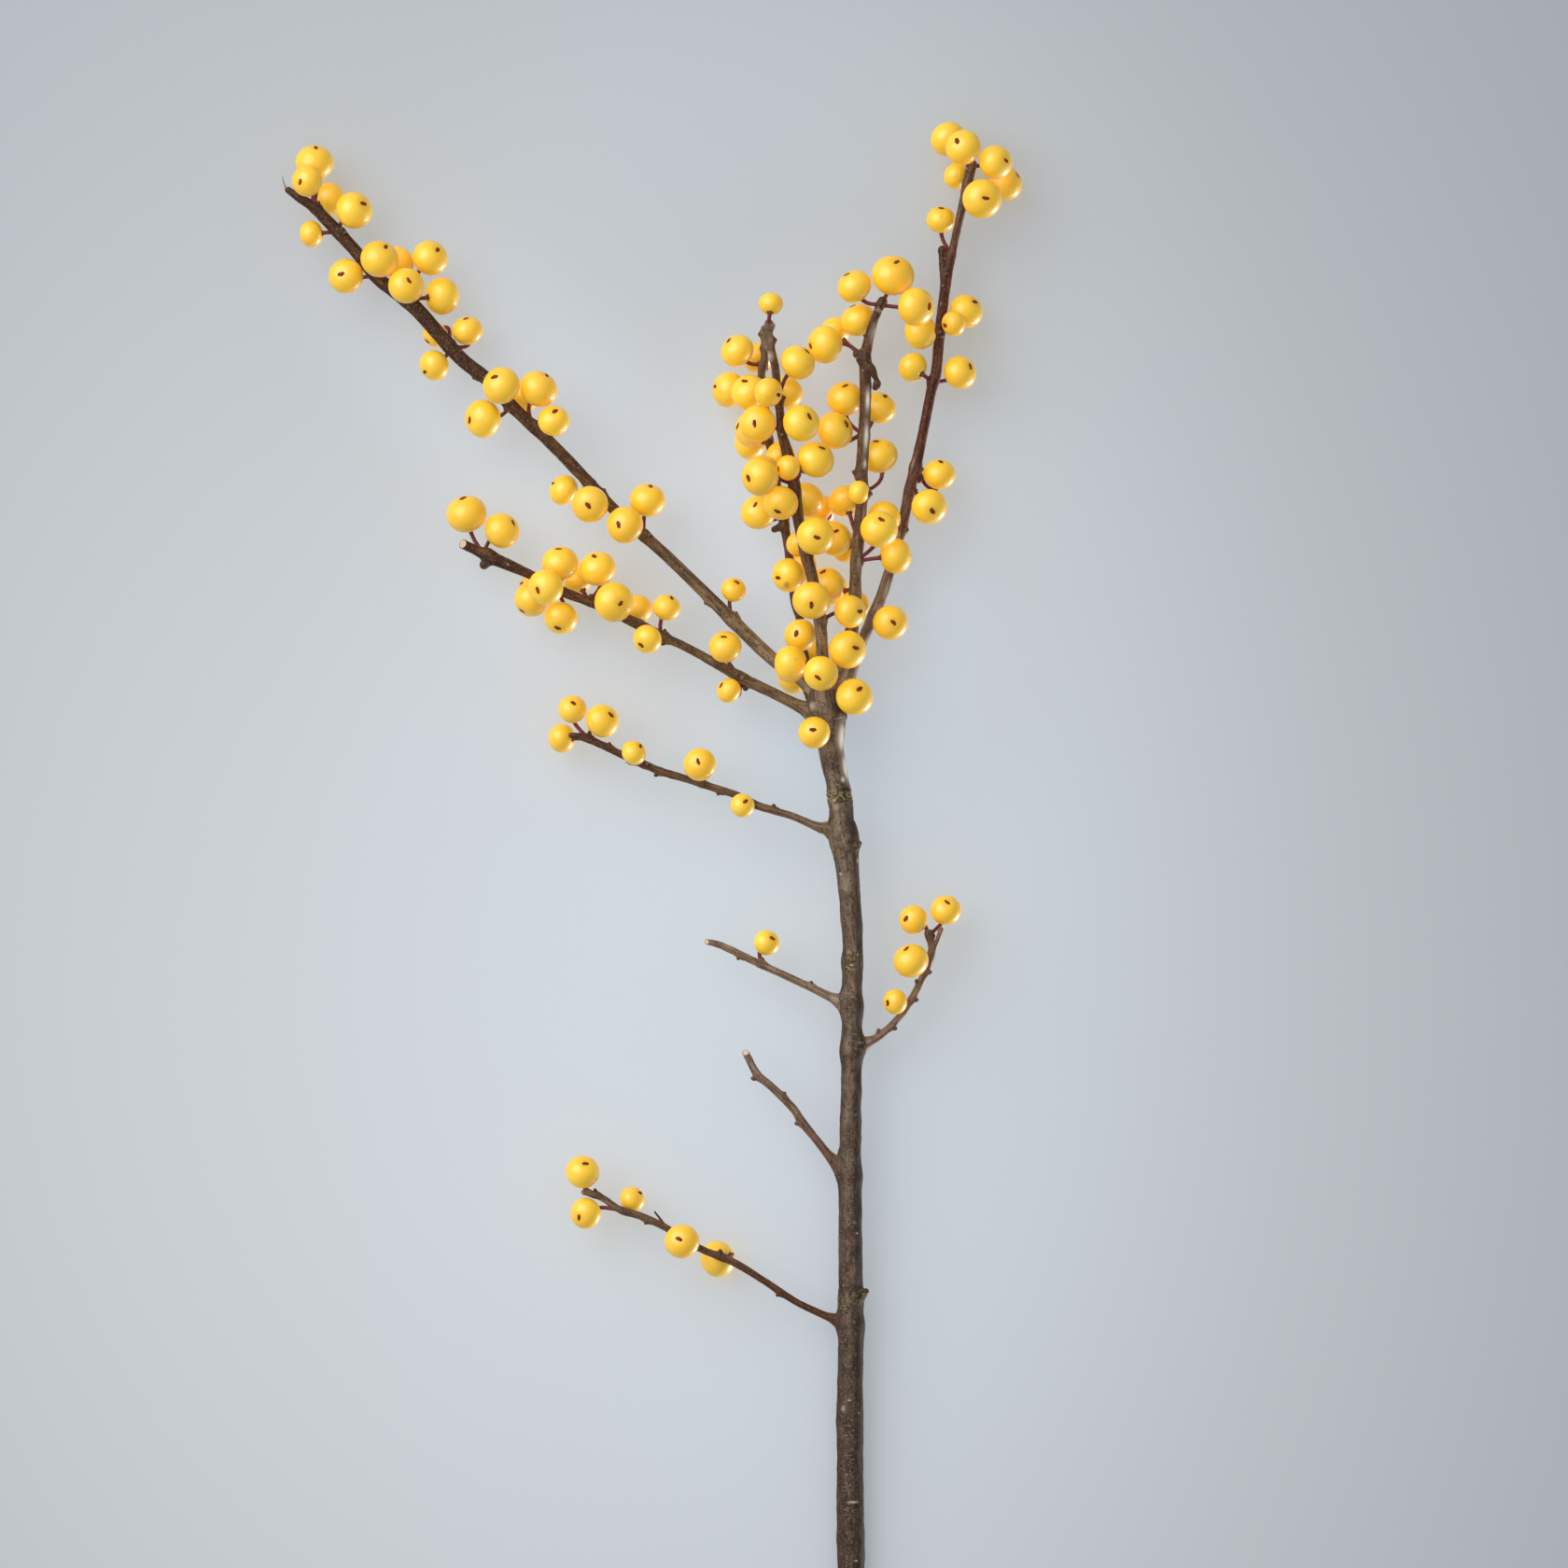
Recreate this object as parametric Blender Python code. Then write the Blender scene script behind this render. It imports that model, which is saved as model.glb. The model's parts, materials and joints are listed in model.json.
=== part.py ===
"""A cut sprig of yellow-berried winterberry, lying on a flat surface.

The tables are in millimetres: x to the right of the stem, y up along it, z above the
surface. Each branch is a route of (x, y, z, width) points, and its berries hang in
groups from the axils, the places along it where leaves once grew.
"""
import math

import bmesh
import bpy
from mathutils import Matrix, Vector

MM = 0.001

# The sprig's middle, which is the origin: half its width and half its length.
MIDDLE_X = -41.8
MIDDLE_Y = 135.0

CUT_SLANT = 0.6
STEM_TOP_SIDES = 8
TWIG_SIDES = 6
PEDICEL_SIDES = 4
STEM_SPACING = 9.0
TWIG_SPACING = 5.5
PEDICEL_WIDTH = 1.0
BERRY_LENGTH = 0.95

# Flat facets cut inside the round form, so both stand a little proud of it.
BERRY_FACET_ALLOWANCE = 1.03
TUBE_FACET_ALLOWANCE = {4: 1.25, 6: 1.09, 8: 1.05}

# Clear space left between pieces.
BRANCH_GAP = 0.35
BERRY_GAP = 0.3
SPRAY_GAP = 0.65
WOOD_GAP = 0.4
SURFACE_GAP = 0.4

# A berry settles more readily up or down than sideways.
SIDEWAYS_EASE = 0.3
SETTLE_ROUNDS = 300
WALK_STEP = 1.0
ON_SURFACE = None

BERRY_YELLOW = (0.94, 0.62, 0.07, 1.0)
BARK_BROWN = (0.16, 0.09, 0.05, 1.0)

STEM_ROUTE = [
    (0.5, -40.0, 2.95, 6.0), (0.4, -18.0, 2.95, 6.0), (0.4, 0.0, 3.3, 5.9), (0.2, 16.0, 3.9, 5.8),
    (0.2, 36.0, 4.9, 5.6), (0.4, 56.0, 5.9, 5.3), (0.2, 76.0, 6.8, 5.0), (0.3, 98.0, 7.8, 4.5),
    (0.6, 116.0, 8.6, 4.4), (0.6, 130.0, 9.3, 4.5), (0.6, 136.0, 9.6, 4.4),
    (-0.8, 156.0, 10.6, 5.2), (-1.5, 160.0, 10.8, 5.0), (-2.2, 166.0, 11.1, 5.0),
    (-4.0, 176.0, 11.6, 5.4), (-5.0, 183.0, 12.0, 6.2), (-5.4, 187.0, 12.4, 5.2),
]
STEM_AXILS = [
    ((-4.6, 177.6), [(-7.5, 179.0, 6.0, 6.8, -0.1, 0.2)]),
    ((-4.0, 182.6), [(1.1, 186.6, 6.0, 8.0, 0.3, 0.5)]),
]

# collar is how far each branch's foot belongs to the stem.
SPRAYS = {
    "spray_left_upper": {
        "collar": 11.0,
        "route": [
            (-5.6, 185.0, 12.0, 3.4), (-8.4, 189.6, 11.2, 3.0), (-15.0, 193.6, 10.2, 2.9),
            (-23.0, 201.0, 10.4, 2.9), (-32.0, 210.0, 11.2, 2.6), (-38.0, 215.8, 11.6, 2.5),
            (-44.0, 221.2, 11.9, 2.5), (-50.0, 226.4, 12.1, 2.5), (-54.0, 230.6, 12.2, 2.5),
            (-60.0, 237.0, 12.2, 2.6), (-65.0, 242.0, 12.1, 2.6), (-73.0, 249.6, 11.8, 2.7),
            (-78.0, 255.0, 11.6, 2.9), (-82.4, 258.4, 11.4, 3.0), (-86.4, 262.6, 11.1, 3.1),
            (-93.0, 270.0, 10.7, 3.2), (-98.0, 274.0, 10.4, 3.0), (-101.0, 276.4, 10.2, 2.9),
            (-106.0, 282.4, 9.9, 2.7), (-111.6, 288.4, 9.6, 2.6), (-114.8, 291.6, 9.5, 2.2),
            (-117.6, 293.4, 9.5, 1.9), (-120.2, 295.2, 9.4, 1.5),
        ],
        "offshoots": [],
        "axils": [
            ((-25.0, 203.2), [(-24.8, 209.6, 0.0, 5.4, 0.3, 0.7)]),
            ((-44.0, 221.2), [
                (-43.2, 228.8, 0.0, 7.6, 0.2, 0.9), (-48.0, 223.4, 5.5, 7.8, -0.4, 0.0),
            ]),
            ((-55.6, 232.2), [
                (-61.2, 231.0, -2.0, 6.6, -0.8, 0.5), (-55.4, 227.9, 4.0, 7.8, -0.1, -0.1),
            ]),
            ((-67.6, 244.4), [
                (-66.6, 252.3, 1.0, 8.2, 0.5, 0.8), (-63.4, 245.8, 3.0, 6.8, 0.1, 0.7),
            ]),
            ((-72.6, 249.2), [
                (-74.5, 253.2, 5.0, 8.0, -0.4, 0.5), (-69.6, 251.2, -4.0, 6.8),
                (-78.5, 246.2, 0.0, 8.2, -0.8, -0.1),
            ]),
            ((-85.8, 261.8), [
                (-88.8, 264.4, -4.5, 5.6, -0.7, -0.6), (-82.2, 264.8, -1.0, 6.6, -0.1, 0.9),
                (-88.6, 257.9, 0.0, 6.6, -0.7, -0.5),
            ]),
            ((-94.6, 271.4), [
                (-90.1, 280.6, 1.0, 7.6, 0.5, 0.5), (-94.8, 274.6, 6.0, 7.6, 0.2, 0.3),
                (-87.4, 272.5, -1.0, 8.0),
            ]),
            ((-101.8, 276.8), [
                (-107.4, 277.1, 1.5, 7.4, -0.3, 0.1), (-100.5, 280.3, 5.5, 8.2, 0.4, 0.7),
                (-96.4, 279.8, -1.0, 7.2),
            ]),
            ((-109.4, 286.0), [
                (-106.1, 290.9, 1.0, 8.0, 0.6, 0.4), (-115.0, 286.2, 0.0, 5.6),
            ]),
            ((-114.6, 291.4), [
                (-114.7, 301.1, -1.0, 8.2, 0.1, 0.9), (-116.0, 297.1, 4.5, 6.6, -0.5, -0.1),
                (-111.6, 293.6, ON_SURFACE, 7.2),
            ]),
        ],
    },
    "spray_left_lower": {
        "collar": 7.0,
        "route": [
            (-5.6, 181.5, 11.6, 3.0), (-9.6, 184.0, 11.2, 2.6), (-16.2, 187.4, 10.6, 2.4),
            (-22.8, 190.6, 10.2, 2.4), (-34.0, 196.8, 10.0, 1.8), (-39.6, 199.4, 10.0, 2.0),
            (-46.0, 202.6, 10.0, 2.2), (-54.8, 206.7, 10.0, 2.0), (-61.4, 209.2, 10.0, 2.2),
            (-67.8, 212.6, 10.0, 2.0), (-76.4, 216.4, 10.0, 2.8), (-79.0, 217.6, 10.0, 2.2),
            (-82.8, 219.4, 10.0, 2.0),
        ],
        "offshoots": [
            [(-76.6, 216.5, 10.0, 2.2), (-78.4, 214.6, 10.0, 2.0)],
            [(-22.8, 190.6, 10.2, 2.0), (-22.2, 188.2, 10.2, 1.6)],
        ],
        "axils": [
            ((-23.8, 191.2), [
                (-26.7, 197.0, 2.0, 7.0, -0.1, 0.7), (-25.6, 188.3, 1.5, 5.4, -0.7, 0.5),
            ]),
            ((-40.0, 199.8), [(-39.1, 205.8, 0.0, 6.0, 0.4, 0.8)]),
            ((-45.0, 202.2), [
                (-45.6, 205.4, -5.0, 6.8), (-43.2, 199.1, 3.5, 6.2, -0.5, -0.5),
            ]),
            ((-55.6, 207.0), [
                (-54.2, 214.0, 0.0, 7.8, -0.2, 0.8), (-58.0, 211.6, -4.0, 6.0),
                (-50.4, 206.9, 5.5, 8.4, 0.4, -0.1),
            ]),
            ((-63.6, 210.4), [
                (-62.1, 214.9, 1.0, 7.8, -0.1, 0.9), (-65.0, 210.0, 7.0, 7.6, -0.5, -0.2),
                (-68.0, 209.6, -6.0, 6.8, -0.8, 0.5), (-67.8, 207.2, 0.5, 7.2, -0.6, -0.7),
                (-62.2, 203.8, 0.0, 7.2, -0.2, -0.7),
            ]),
            ((-78.2, 217.3), [
                (-81.8, 225.8, 0.0, 8.6, -0.2, 0.9), (-74.6, 222.4, 0.0, 7.8, 0.7, 0.5),
            ]),
        ],
    },
    "spray_centre_front": {
        "collar": 8.5,
        "route": [
            (-5.2, 183.5, 12.2, 4.0), (-5.2, 187.0, 12.8, 3.0), (-5.5, 191.5, 13.8, 2.7),
            (-5.8, 196.4, 15.0, 2.6), (-6.2, 202.0, 16.0, 2.6), (-7.9, 212.0, 17.0, 2.5),
            (-9.2, 216.6, 17.4, 2.5), (-11.0, 224.8, 18.0, 2.4), (-11.6, 231.0, 18.0, 2.4),
            (-13.4, 239.1, 18.5, 2.3), (-14.4, 242.8, 18.8, 2.0), (-14.8, 247.0, 19.0, 1.8),
            (-15.6, 254.2, 19.4, 1.7), (-16.0, 257.6, 19.5, 1.8), (-16.6, 260.0, 19.6, 1.8),
            (-17.2, 263.8, 19.8, 1.6), (-17.4, 266.4, 20.0, 1.5),
        ],
        "offshoots": [],
        "axils": [
            ((-5.6, 193.8), [
                (-11.8, 193.9, 3.0, 7.8), (-6.3, 192.2, 5.5, 7.4, -0.2, -0.3),
            ]),
            ((-6.3, 203.0), [(0.1, 204.2, 1.5, 7.0, 0.7, 0.0)]),
            ((-6.9, 206.4), [
                (-8.1, 207.2, 5.2, 8.0, 0.0, -0.3), (-5.0, 210.8, -4.6, 7.6, -0.2, 0.8),
            ]),
            ((-9.4, 217.4), [
                (-7.3, 220.9, 5.0, 8.0, 0.1, -0.1), (-10.6, 219.2, -4.5, 6.0),
            ]),
            ((-11.2, 226.4), [(-9.4, 228.8, -4.8, 7.8)]),
            ((-11.7, 231.6), [
                (-12.8, 235.6, 4.2, 5.4, -0.9, -0.1), (-18.6, 233.2, 7.0, 8.2, -0.7, -0.1),
                (-18.2, 234.8, -1.5, 7.6), (-14.8, 228.4, 4.0, 7.4, -0.2, -0.6),
            ]),
            ((-13.1, 237.8), [
                (-7.4, 238.0, 0.5, 8.0, 0.4, 0.7), (-15.2, 237.6, -4.8, 6.8),
            ]),
            ((-14.5, 243.6), [
                (-19.4, 245.6, 3.0, 7.8, -0.2, 0.0), (-10.3, 245.0, 4.0, 8.0, 0.5, 0.4),
            ]),
            ((-15.1, 250.0), [
                (-11.8, 258.0, 1.0, 7.6, 0.6, 0.7), (-17.6, 250.8, 4.0, 6.4, 0.8, -0.2),
                (-13.6, 251.8, -4.8, 7.2),
            ]),
            ((-17.3, 265.6), [(-16.8, 270.6, 0.0, 5.2)]),
        ],
    },
    "spray_centre_back": {
        "collar": 10.0,
        "route": [
            (-5.8, 184.0, 12.0, 3.0), (-8.2, 188.4, 11.0, 2.2), (-9.4, 194.0, 9.0, 1.9),
            (-10.2, 199.5, 8.2, 1.7), (-10.5, 203.2, 8.0, 1.7), (-11.8, 207.4, 8.0, 1.7),
            (-13.0, 217.4, 8.0, 1.7), (-13.9, 223.6, 8.0, 2.0), (-15.4, 232.0, 8.0, 1.7),
            (-17.0, 240.6, 8.0, 1.7), (-18.0, 248.0, 8.2, 1.7), (-18.8, 255.4, 8.5, 1.7),
            (-18.2, 259.0, 8.7, 1.6), (-18.2, 265.6, 9.0, 1.4),
        ],
        "offshoots": [
            [(-13.9, 223.6, 8.0, 1.8), (-16.0, 222.6, 8.0, 1.4)],
        ],
        "axils": [
            ((-9.5, 194.8), [
                (-11.6, 191.4, -4.0, 7.4, -0.9, 0.0), (-8.0, 196.8, -4.2, 6.8, 0.1, 0.9),
            ]),
            ((-10.4, 201.4), [(-9.6, 199.4, 4.4, 6.8, -0.3, 0.1)]),
            ((-12.8, 215.2), [
                (-13.0, 213.0, 5.5, 7.2, -0.7, -0.2), (-10.8, 214.8, -4.0, 7.0),
            ]),
            ((-14.2, 225.4), [
                (-19.5, 226.2, 2.0, 7.4, -0.2, 0.5), (-6.4, 226.6, -1.0, 7.2, 0.7, -0.4),
            ]),
            ((-17.2, 242.0), [
                (-21.0, 244.0, 5.5, 7.6, -0.9, 0.2), (-21.2, 241.2, -3.0, 7.2),
            ]),
            ((-18.3, 250.4), [
                (-25.8, 252.6, -2.0, 7.6, -0.9, 0.2), (-21.4, 251.8, 4.2, 7.8, -0.3, 0.7),
            ]),
            ((-18.4, 257.8), [
                (-23.8, 260.8, 0.0, 7.2, -0.6, 0.7), (-19.6, 259.6, -4.4, 6.8),
            ]),
        ],
    },
    "spray_centre_right": {
        "collar": 9.5,
        "route": [
            (-4.6, 183.5, 12.2, 3.6), (-3.4, 188.4, 12.4, 2.8), (-1.4, 193.6, 12.5, 2.6),
            (0.4, 200.0, 12.5, 2.6), (1.2, 208.0, 13.0, 2.6), (1.4, 214.8, 14.0, 2.5),
            (2.2, 224.0, 15.0, 2.5), (2.8, 231.0, 15.4, 2.5), (2.6, 234.5, 15.5, 2.7),
            (3.0, 240.8, 15.5, 2.5), (3.4, 249.6, 15.5, 2.5), (3.4, 256.0, 15.6, 2.5),
            (3.5, 260.0, 15.7, 2.3), (4.8, 265.8, 15.9, 1.8), (6.1, 269.3, 16.0, 1.7),
            (7.0, 271.2, 16.0, 2.0),
        ],
        "offshoots": [
            [(3.8, 257.4, 15.6, 2.2), (5.0, 256.0, 15.7, 2.0), (5.9, 252.8, 15.8, 1.7)],
            [(3.4, 258.4, 15.6, 2.2), (1.6, 259.8, 15.7, 1.9)],
        ],
        "axils": [
            ((0.5, 200.8), [
                (-0.8, 197.0, 5.5, 8.0, 0.5, 0.1), (1.6, 206.4, -4.6, 6.4),
            ]),
            ((1.2, 209.0), [(-3.0, 209.6, -8.0, 6.8)]),
            ((1.5, 215.4), [
                (6.5, 222.4, 5.0, 8.0, 0.1, 0.6), (9.8, 216.9, 0.0, 7.6),
            ]),
            ((1.8, 219.6), [
                (-0.9, 228.6, -3.5, 7.2), (-2.8, 220.4, -1.5, 7.4, 0.1, 0.5),
                (-1.0, 219.0, -8.0, 6.8), (8.0, 224.8, -2.5, 7.2),
            ]),
            ((2.8, 230.4), [
                (6.3, 238.3, -4.0, 8.0, -0.2, 0.9), (2.0, 230.3, 4.0, 5.0),
            ]),
            ((3.0, 242.4), [
                (-3.6, 243.0, 1.0, 8.0, 0.7, 0.4), (-0.1, 250.0, -3.6, 7.8, 0.0, 0.8),
                (5.6, 248.8, -5.0, 7.2, 0.4, 0.8),
            ]),
            ((2.8, 259.0), [
                (-5.2, 262.0, 0.0, 8.0, -0.9, -0.1), (-2.2, 265.2, -6.0, 6.8),
                (2.0, 266.6, -3.0, 7.6, -0.4, 0.9),
            ]),
            ((6.8, 270.8), [
                (1.0, 274.4, 0.0, 7.4, -0.5, 0.8), (9.3, 276.8, 0.0, 9.0, 0.2, 0.7),
                (14.3, 269.7, 2.5, 8.2, 0.8, 0.0),
            ]),
        ],
    },
    "spray_right": {
        "collar": 9.5,
        "route": [
            (-3.6, 180.6, 11.6, 3.0), (-2.0, 184.2, 11.0, 2.6), (-0.6, 188.0, 10.4, 2.5),
            (1.6, 195.8, 9.8, 2.4), (4.0, 201.4, 9.6, 2.4), (6.4, 207.0, 9.5, 2.4),
            (8.0, 211.8, 9.5, 2.3), (11.4, 223.6, 9.5, 2.3), (12.8, 230.6, 9.5, 2.3),
            (14.2, 236.0, 9.5, 2.4), (15.6, 242.4, 9.5, 2.2), (17.5, 252.0, 9.5, 2.2),
            (18.6, 256.4, 9.5, 2.3), (19.2, 263.0, 9.5, 2.2), (20.0, 270.0, 9.5, 2.2),
            (20.8, 276.0, 9.5, 2.1), (22.4, 283.6, 9.5, 1.7), (24.2, 291.6, 9.5, 1.8),
            (25.6, 298.0, 9.5, 2.2), (26.4, 300.8, 9.5, 1.8),
        ],
        "offshoots": [
            [(20.6, 275.2, 9.5, 1.9), (20.1, 278.4, 9.3, 1.8), (20.0, 282.2, 9.0, 1.8)],
            [(14.0, 235.8, 9.5, 1.9), (14.9, 233.4, 9.5, 1.6)],
        ],
        "axils": [
            ((5.4, 204.6), [(8.6, 202.6, 3.0, 7.4, 0.2, 0.0)]),
            ((12.9, 231.2), [(16.9, 227.4, 2.0, 7.6, 0.2, -0.3)]),
            ((14.2, 235.6), [(18.8, 234.3, -1.0, 7.0, 0.1, 0.9)]),
            ((18.0, 254.4), [
                (13.6, 257.3, 0.0, 6.4), (23.7, 256.2, 0.0, 7.2, 0.7, 0.4),
            ]),
            ((19.4, 264.6), [
                (25.0, 269.4, -1.6, 7.4, 0.6, 0.6), (22.3, 266.6, 3.6, 5.4, -0.8, -0.2),
                (15.4, 265.0, 3.5, 7.6),
            ]),
            ((20.0, 281.6), [(20.6, 288.7, -1.0, 6.2, 0.0, 0.9)]),
            ((25.3, 296.4), [
                (33.6, 297.0, ON_SURFACE, 7.4, 0.8, 0.5), (28.4, 293.2, 5.5, 8.4, 0.2, 0.0),
                (23.2, 298.5, -4.0, 6.0),
            ]),
            ((26.3, 300.4), [
                (21.2, 306.3, -2.5, 7.6), (24.3, 304.2, 4.5, 7.6, -0.4, 0.4),
                (31.3, 301.1, 2.0, 7.4, 0.7, 0.1),
            ]),
        ],
    },
    "twig_left_1": {
        "collar": 5.0,
        "route": [
            (-1.0, 156.6, 10.6, 2.6), (-4.0, 158.3, 10.6, 2.2), (-7.6, 159.2, 10.4, 1.8),
            (-12.4, 161.2, 10.2, 1.6), (-19.8, 163.4, 10.0, 1.7), (-24.2, 165.6, 9.9, 1.6),
            (-29.6, 167.4, 9.8, 1.6), (-34.6, 169.0, 9.7, 1.6), (-39.4, 170.4, 9.7, 1.7),
            (-43.8, 172.1, 9.6, 1.6), (-48.8, 174.3, 9.6, 1.6), (-56.0, 177.7, 9.5, 1.6),
            (-59.4, 178.4, 9.5, 1.4),
        ],
        "offshoots": [],
        "axils": [
            ((-21.0, 163.8), [(-22.9, 163.4, 3.4, 5.2, 0.3, 0.4)]),
            ((-31.6, 168.0), [(-32.1, 172.1, 2.5, 7.0, -0.1, 0.2)]),
            ((-44.2, 172.2), [(-46.1, 174.7, 3.5, 5.4, 0.6, 0.6)]),
            ((-56.0, 177.7), [
                (-59.3, 184.0, 1.0, 6.0, 0.1, 0.5), (-53.0, 181.4, 0.5, 7.2, 0.6, 0.4),
                (-61.6, 177.8, -3.5, 6.2),
            ]),
        ],
    },
    "twig_left_2": {
        "collar": 4.6,
        "route": [
            (0.4, 120.0, 8.9, 2.6), (-3.0, 121.8, 8.9, 2.0), (-10.4, 125.4, 8.9, 1.6),
            (-18.9, 129.3, 9.0, 1.6), (-27.0, 133.2, 9.0, 1.5), (-30.6, 134.2, 9.0, 1.2),
        ],
        "offshoots": [],
        "axils": [
            ((-18.9, 129.3), [(-17.7, 134.0, 0.0, 5.6, 0.5, 0.4)]),
        ],
    },
    "twig_left_3": {
        "collar": 5.0,
        "route": [
            (0.2, 83.6, 7.2, 2.6), (-2.8, 86.4, 7.4, 2.2), (-6.5, 91.0, 7.8, 1.8),
            (-10.0, 95.4, 8.1, 1.8), (-12.2, 98.6, 8.3, 1.7), (-16.8, 103.2, 8.6, 1.7),
            (-19.8, 105.9, 8.8, 1.7), (-22.2, 110.4, 9.0, 1.5),
        ],
        "offshoots": [],
        "axils": [],
    },
    "twig_left_4": {
        "collar": 5.0,
        "route": [
            (0.3, 51.6, 5.8, 2.6), (-2.8, 53.0, 6.0, 2.0), (-6.8, 54.7, 6.5, 1.6),
            (-12.0, 57.3, 7.5, 1.5), (-18.4, 61.6, 8.7, 1.5), (-25.0, 65.6, 9.5, 1.6),
            (-31.9, 68.4, 9.6, 1.5), (-39.3, 72.9, 9.4, 1.5), (-44.5, 75.3, 9.1, 1.6),
            (-49.2, 76.8, 8.9, 1.5), (-53.2, 79.4, 8.7, 1.4), (-56.8, 80.5, 8.6, 1.2),
        ],
        "offshoots": [
            [(-39.6, 73.0, 9.4, 1.3), (-41.6, 76.2, 9.7, 0.8)],
        ],
        "axils": [
            ((-27.0, 66.6), [(-28.2, 66.0, -4.8, 7.8)]),
            ((-34.0, 69.6), [(-35.8, 70.1, 4.5, 7.4, -0.2, 0.2)]),
            ((-48.2, 76.6), [
                (-56.5, 76.0, 0.0, 6.6, -0.5, -0.3), (-46.6, 78.6, -2.0, 5.6, 0.7, 0.6),
            ]),
            ((-54.6, 79.8), [(-57.1, 84.4, 1.0, 7.2, 0.2, 0.6)]),
        ],
    },
    "twig_right_1": {
        "collar": 4.6,
        "route": [
            (0.6, 110.6, 8.4, 2.6), (3.6, 112.4, 8.5, 2.0), (6.8, 114.2, 8.7, 1.6),
            (10.9, 118.3, 9.0, 1.5), (13.8, 122.8, 9.3, 1.5), (15.8, 126.8, 9.5, 1.4),
            (17.6, 132.2, 9.6, 1.5), (16.8, 136.2, 9.7, 1.2),
        ],
        "offshoots": [
            [(17.4, 131.4, 9.6, 1.4), (19.6, 136.8, 9.8, 1.2)],
        ],
        "axils": [
            ((12.4, 120.6), [(9.9, 121.3, 2.4, 5.4, -0.7, -0.1)]),
            ((17.2, 130.8), [(13.3, 130.1, 2.8, 7.6, -0.3, 0.8)]),
            ((16.9, 135.8), [(14.4, 138.5, 0.0, 6.2, -0.6, 0.1)]),
            ((19.4, 136.4), [(20.4, 140.5, 0.0, 6.6, 0.1, 0.6)]),
        ],
    },
}


def smooth_walk(route, step=WALK_STEP):
    """Places along a smooth curve through the route's points, a step or so apart."""
    ends = [route[0], *route, route[-1]]
    walk = []
    for before, start, stop, after in zip(ends, ends[1:], ends[2:], ends[3:]):
        count = max(1, round(math.dist(start[:3], stop[:3]) / step))
        for i in range(count):
            t = i / count
            walk.append(tuple(
                0.5 * (
                    2 * b + (c - a) * t + (2 * a - 5 * b + 4 * c - d) * t ** 2
                    + (3 * b - a - 3 * c + d) * t ** 3
                )
                for a, b, c, d in zip(before, start, stop, after)
            ))
    walk.append(route[-1])
    return walk


def place_at(walk, distance):
    """The place on the walk at this distance from its start."""
    for start, stop in zip(walk, walk[1:]):
        length = math.dist(start[:3], stop[:3])
        if distance <= length:
            share = distance / length
            return tuple(a + (b - a) * share for a, b in zip(start, stop))
        distance -= length
    return walk[-1]


def stretch(walk, start, stop, spacing):
    """Evenly spaced places on the walk from one distance to another."""
    count = max(1, round((stop - start) / spacing))
    return [place_at(walk, start + (stop - start) * i / count) for i in range(count + 1)]


def walk_length(walk):
    return sum(math.dist(a[:3], b[:3]) for a, b in zip(walk, walk[1:]))


def nearest_place(walk, x, y):
    return min(walk, key=lambda place: math.hypot(place[0] - x, place[1] - y))


class Berry:
    """One fruit: its centre and radius, the wood it grows from and where its scar faces."""

    def __init__(self, node, root, row):
        self.node = node
        self.root = Vector(root[:3])
        x, y, lift, diameter = row[:4]
        self.radius = diameter / 2
        self.rests = lift is ON_SURFACE
        height = self.radius if self.rests else root[2] + lift
        self.centre = Vector((x, y, height))
        self.scar = row[4:]

    def axis(self):
        """From the stalk end to the scar end."""
        if self.scar:
            across, up = self.scar
            return Vector((across, up, math.sqrt(max(0.02, 1 - across ** 2 - up ** 2)))).normalized()
        outward = (self.centre - self.root).normalized()
        outward.z = -max(abs(outward.z), 0.35)
        return outward.normalized()


def branch_berries(node, walk, axils):
    return [
        Berry(node, nearest_place(walk, *axil), row)
        for axil, rows in axils
        for row in rows
    ]


def push_apart(berry, away, depth, share=1.0):
    """Move a berry out of contact by this depth, more up or down than sideways."""
    ease = Vector((SIDEWAYS_EASE, SIDEWAYS_EASE, 0.0 if berry.rests else 1.0))
    eased = Vector(a * e for a, e in zip(away, ease))
    berry.centre += eased * (depth * share / max(eased.dot(away), 0.05))


def settle(berries, wood):
    """Clear every berry of the others, of all the wood and of the surface below."""
    pairs = []
    for i, one in enumerate(berries):
        for other in berries[i + 1:]:
            reach = one.radius + other.radius + (BERRY_GAP if one.node == other.node else SPRAY_GAP)
            if (one.centre - other.centre).xy.length < reach + 3:
                pairs.append((one, other, reach))
    near_wood = []
    for berry in berries:
        for node, walk in wood:
            gap = berry.radius + (WOOD_GAP if node == berry.node else SPRAY_GAP)
            near = [
                (Vector(place[:3]), gap + place[3] / 2)
                for place in walk
                if math.dist(place[:2], berry.centre.xy) < gap + 6
            ]
            if near:
                near_wood.append((berry, near))
    for _ in range(SETTLE_ROUNDS):
        for one, other, reach in pairs:
            away = one.centre - other.centre
            if away.length < reach:
                depth = reach - away.length
                away.normalize()
                push_apart(one, away, depth, 0.5)
                push_apart(other, -away, depth, 0.5)
        for berry, near in near_wood:
            place, reach = min(near, key=lambda item: (berry.centre - item[0]).length - item[1])
            away = berry.centre - place
            if away.length < reach:
                depth = reach - away.length
                push_apart(berry, away.normalized(), depth)
        for berry in berries:
            if not berry.rests:
                berry.centre.z = max(berry.centre.z, berry.radius + SURFACE_GAP)


def new_piece(name, mesh):
    piece = bpy.data.objects.new(name, mesh)
    bpy.context.scene.collection.objects.link(piece)
    return piece


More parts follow.
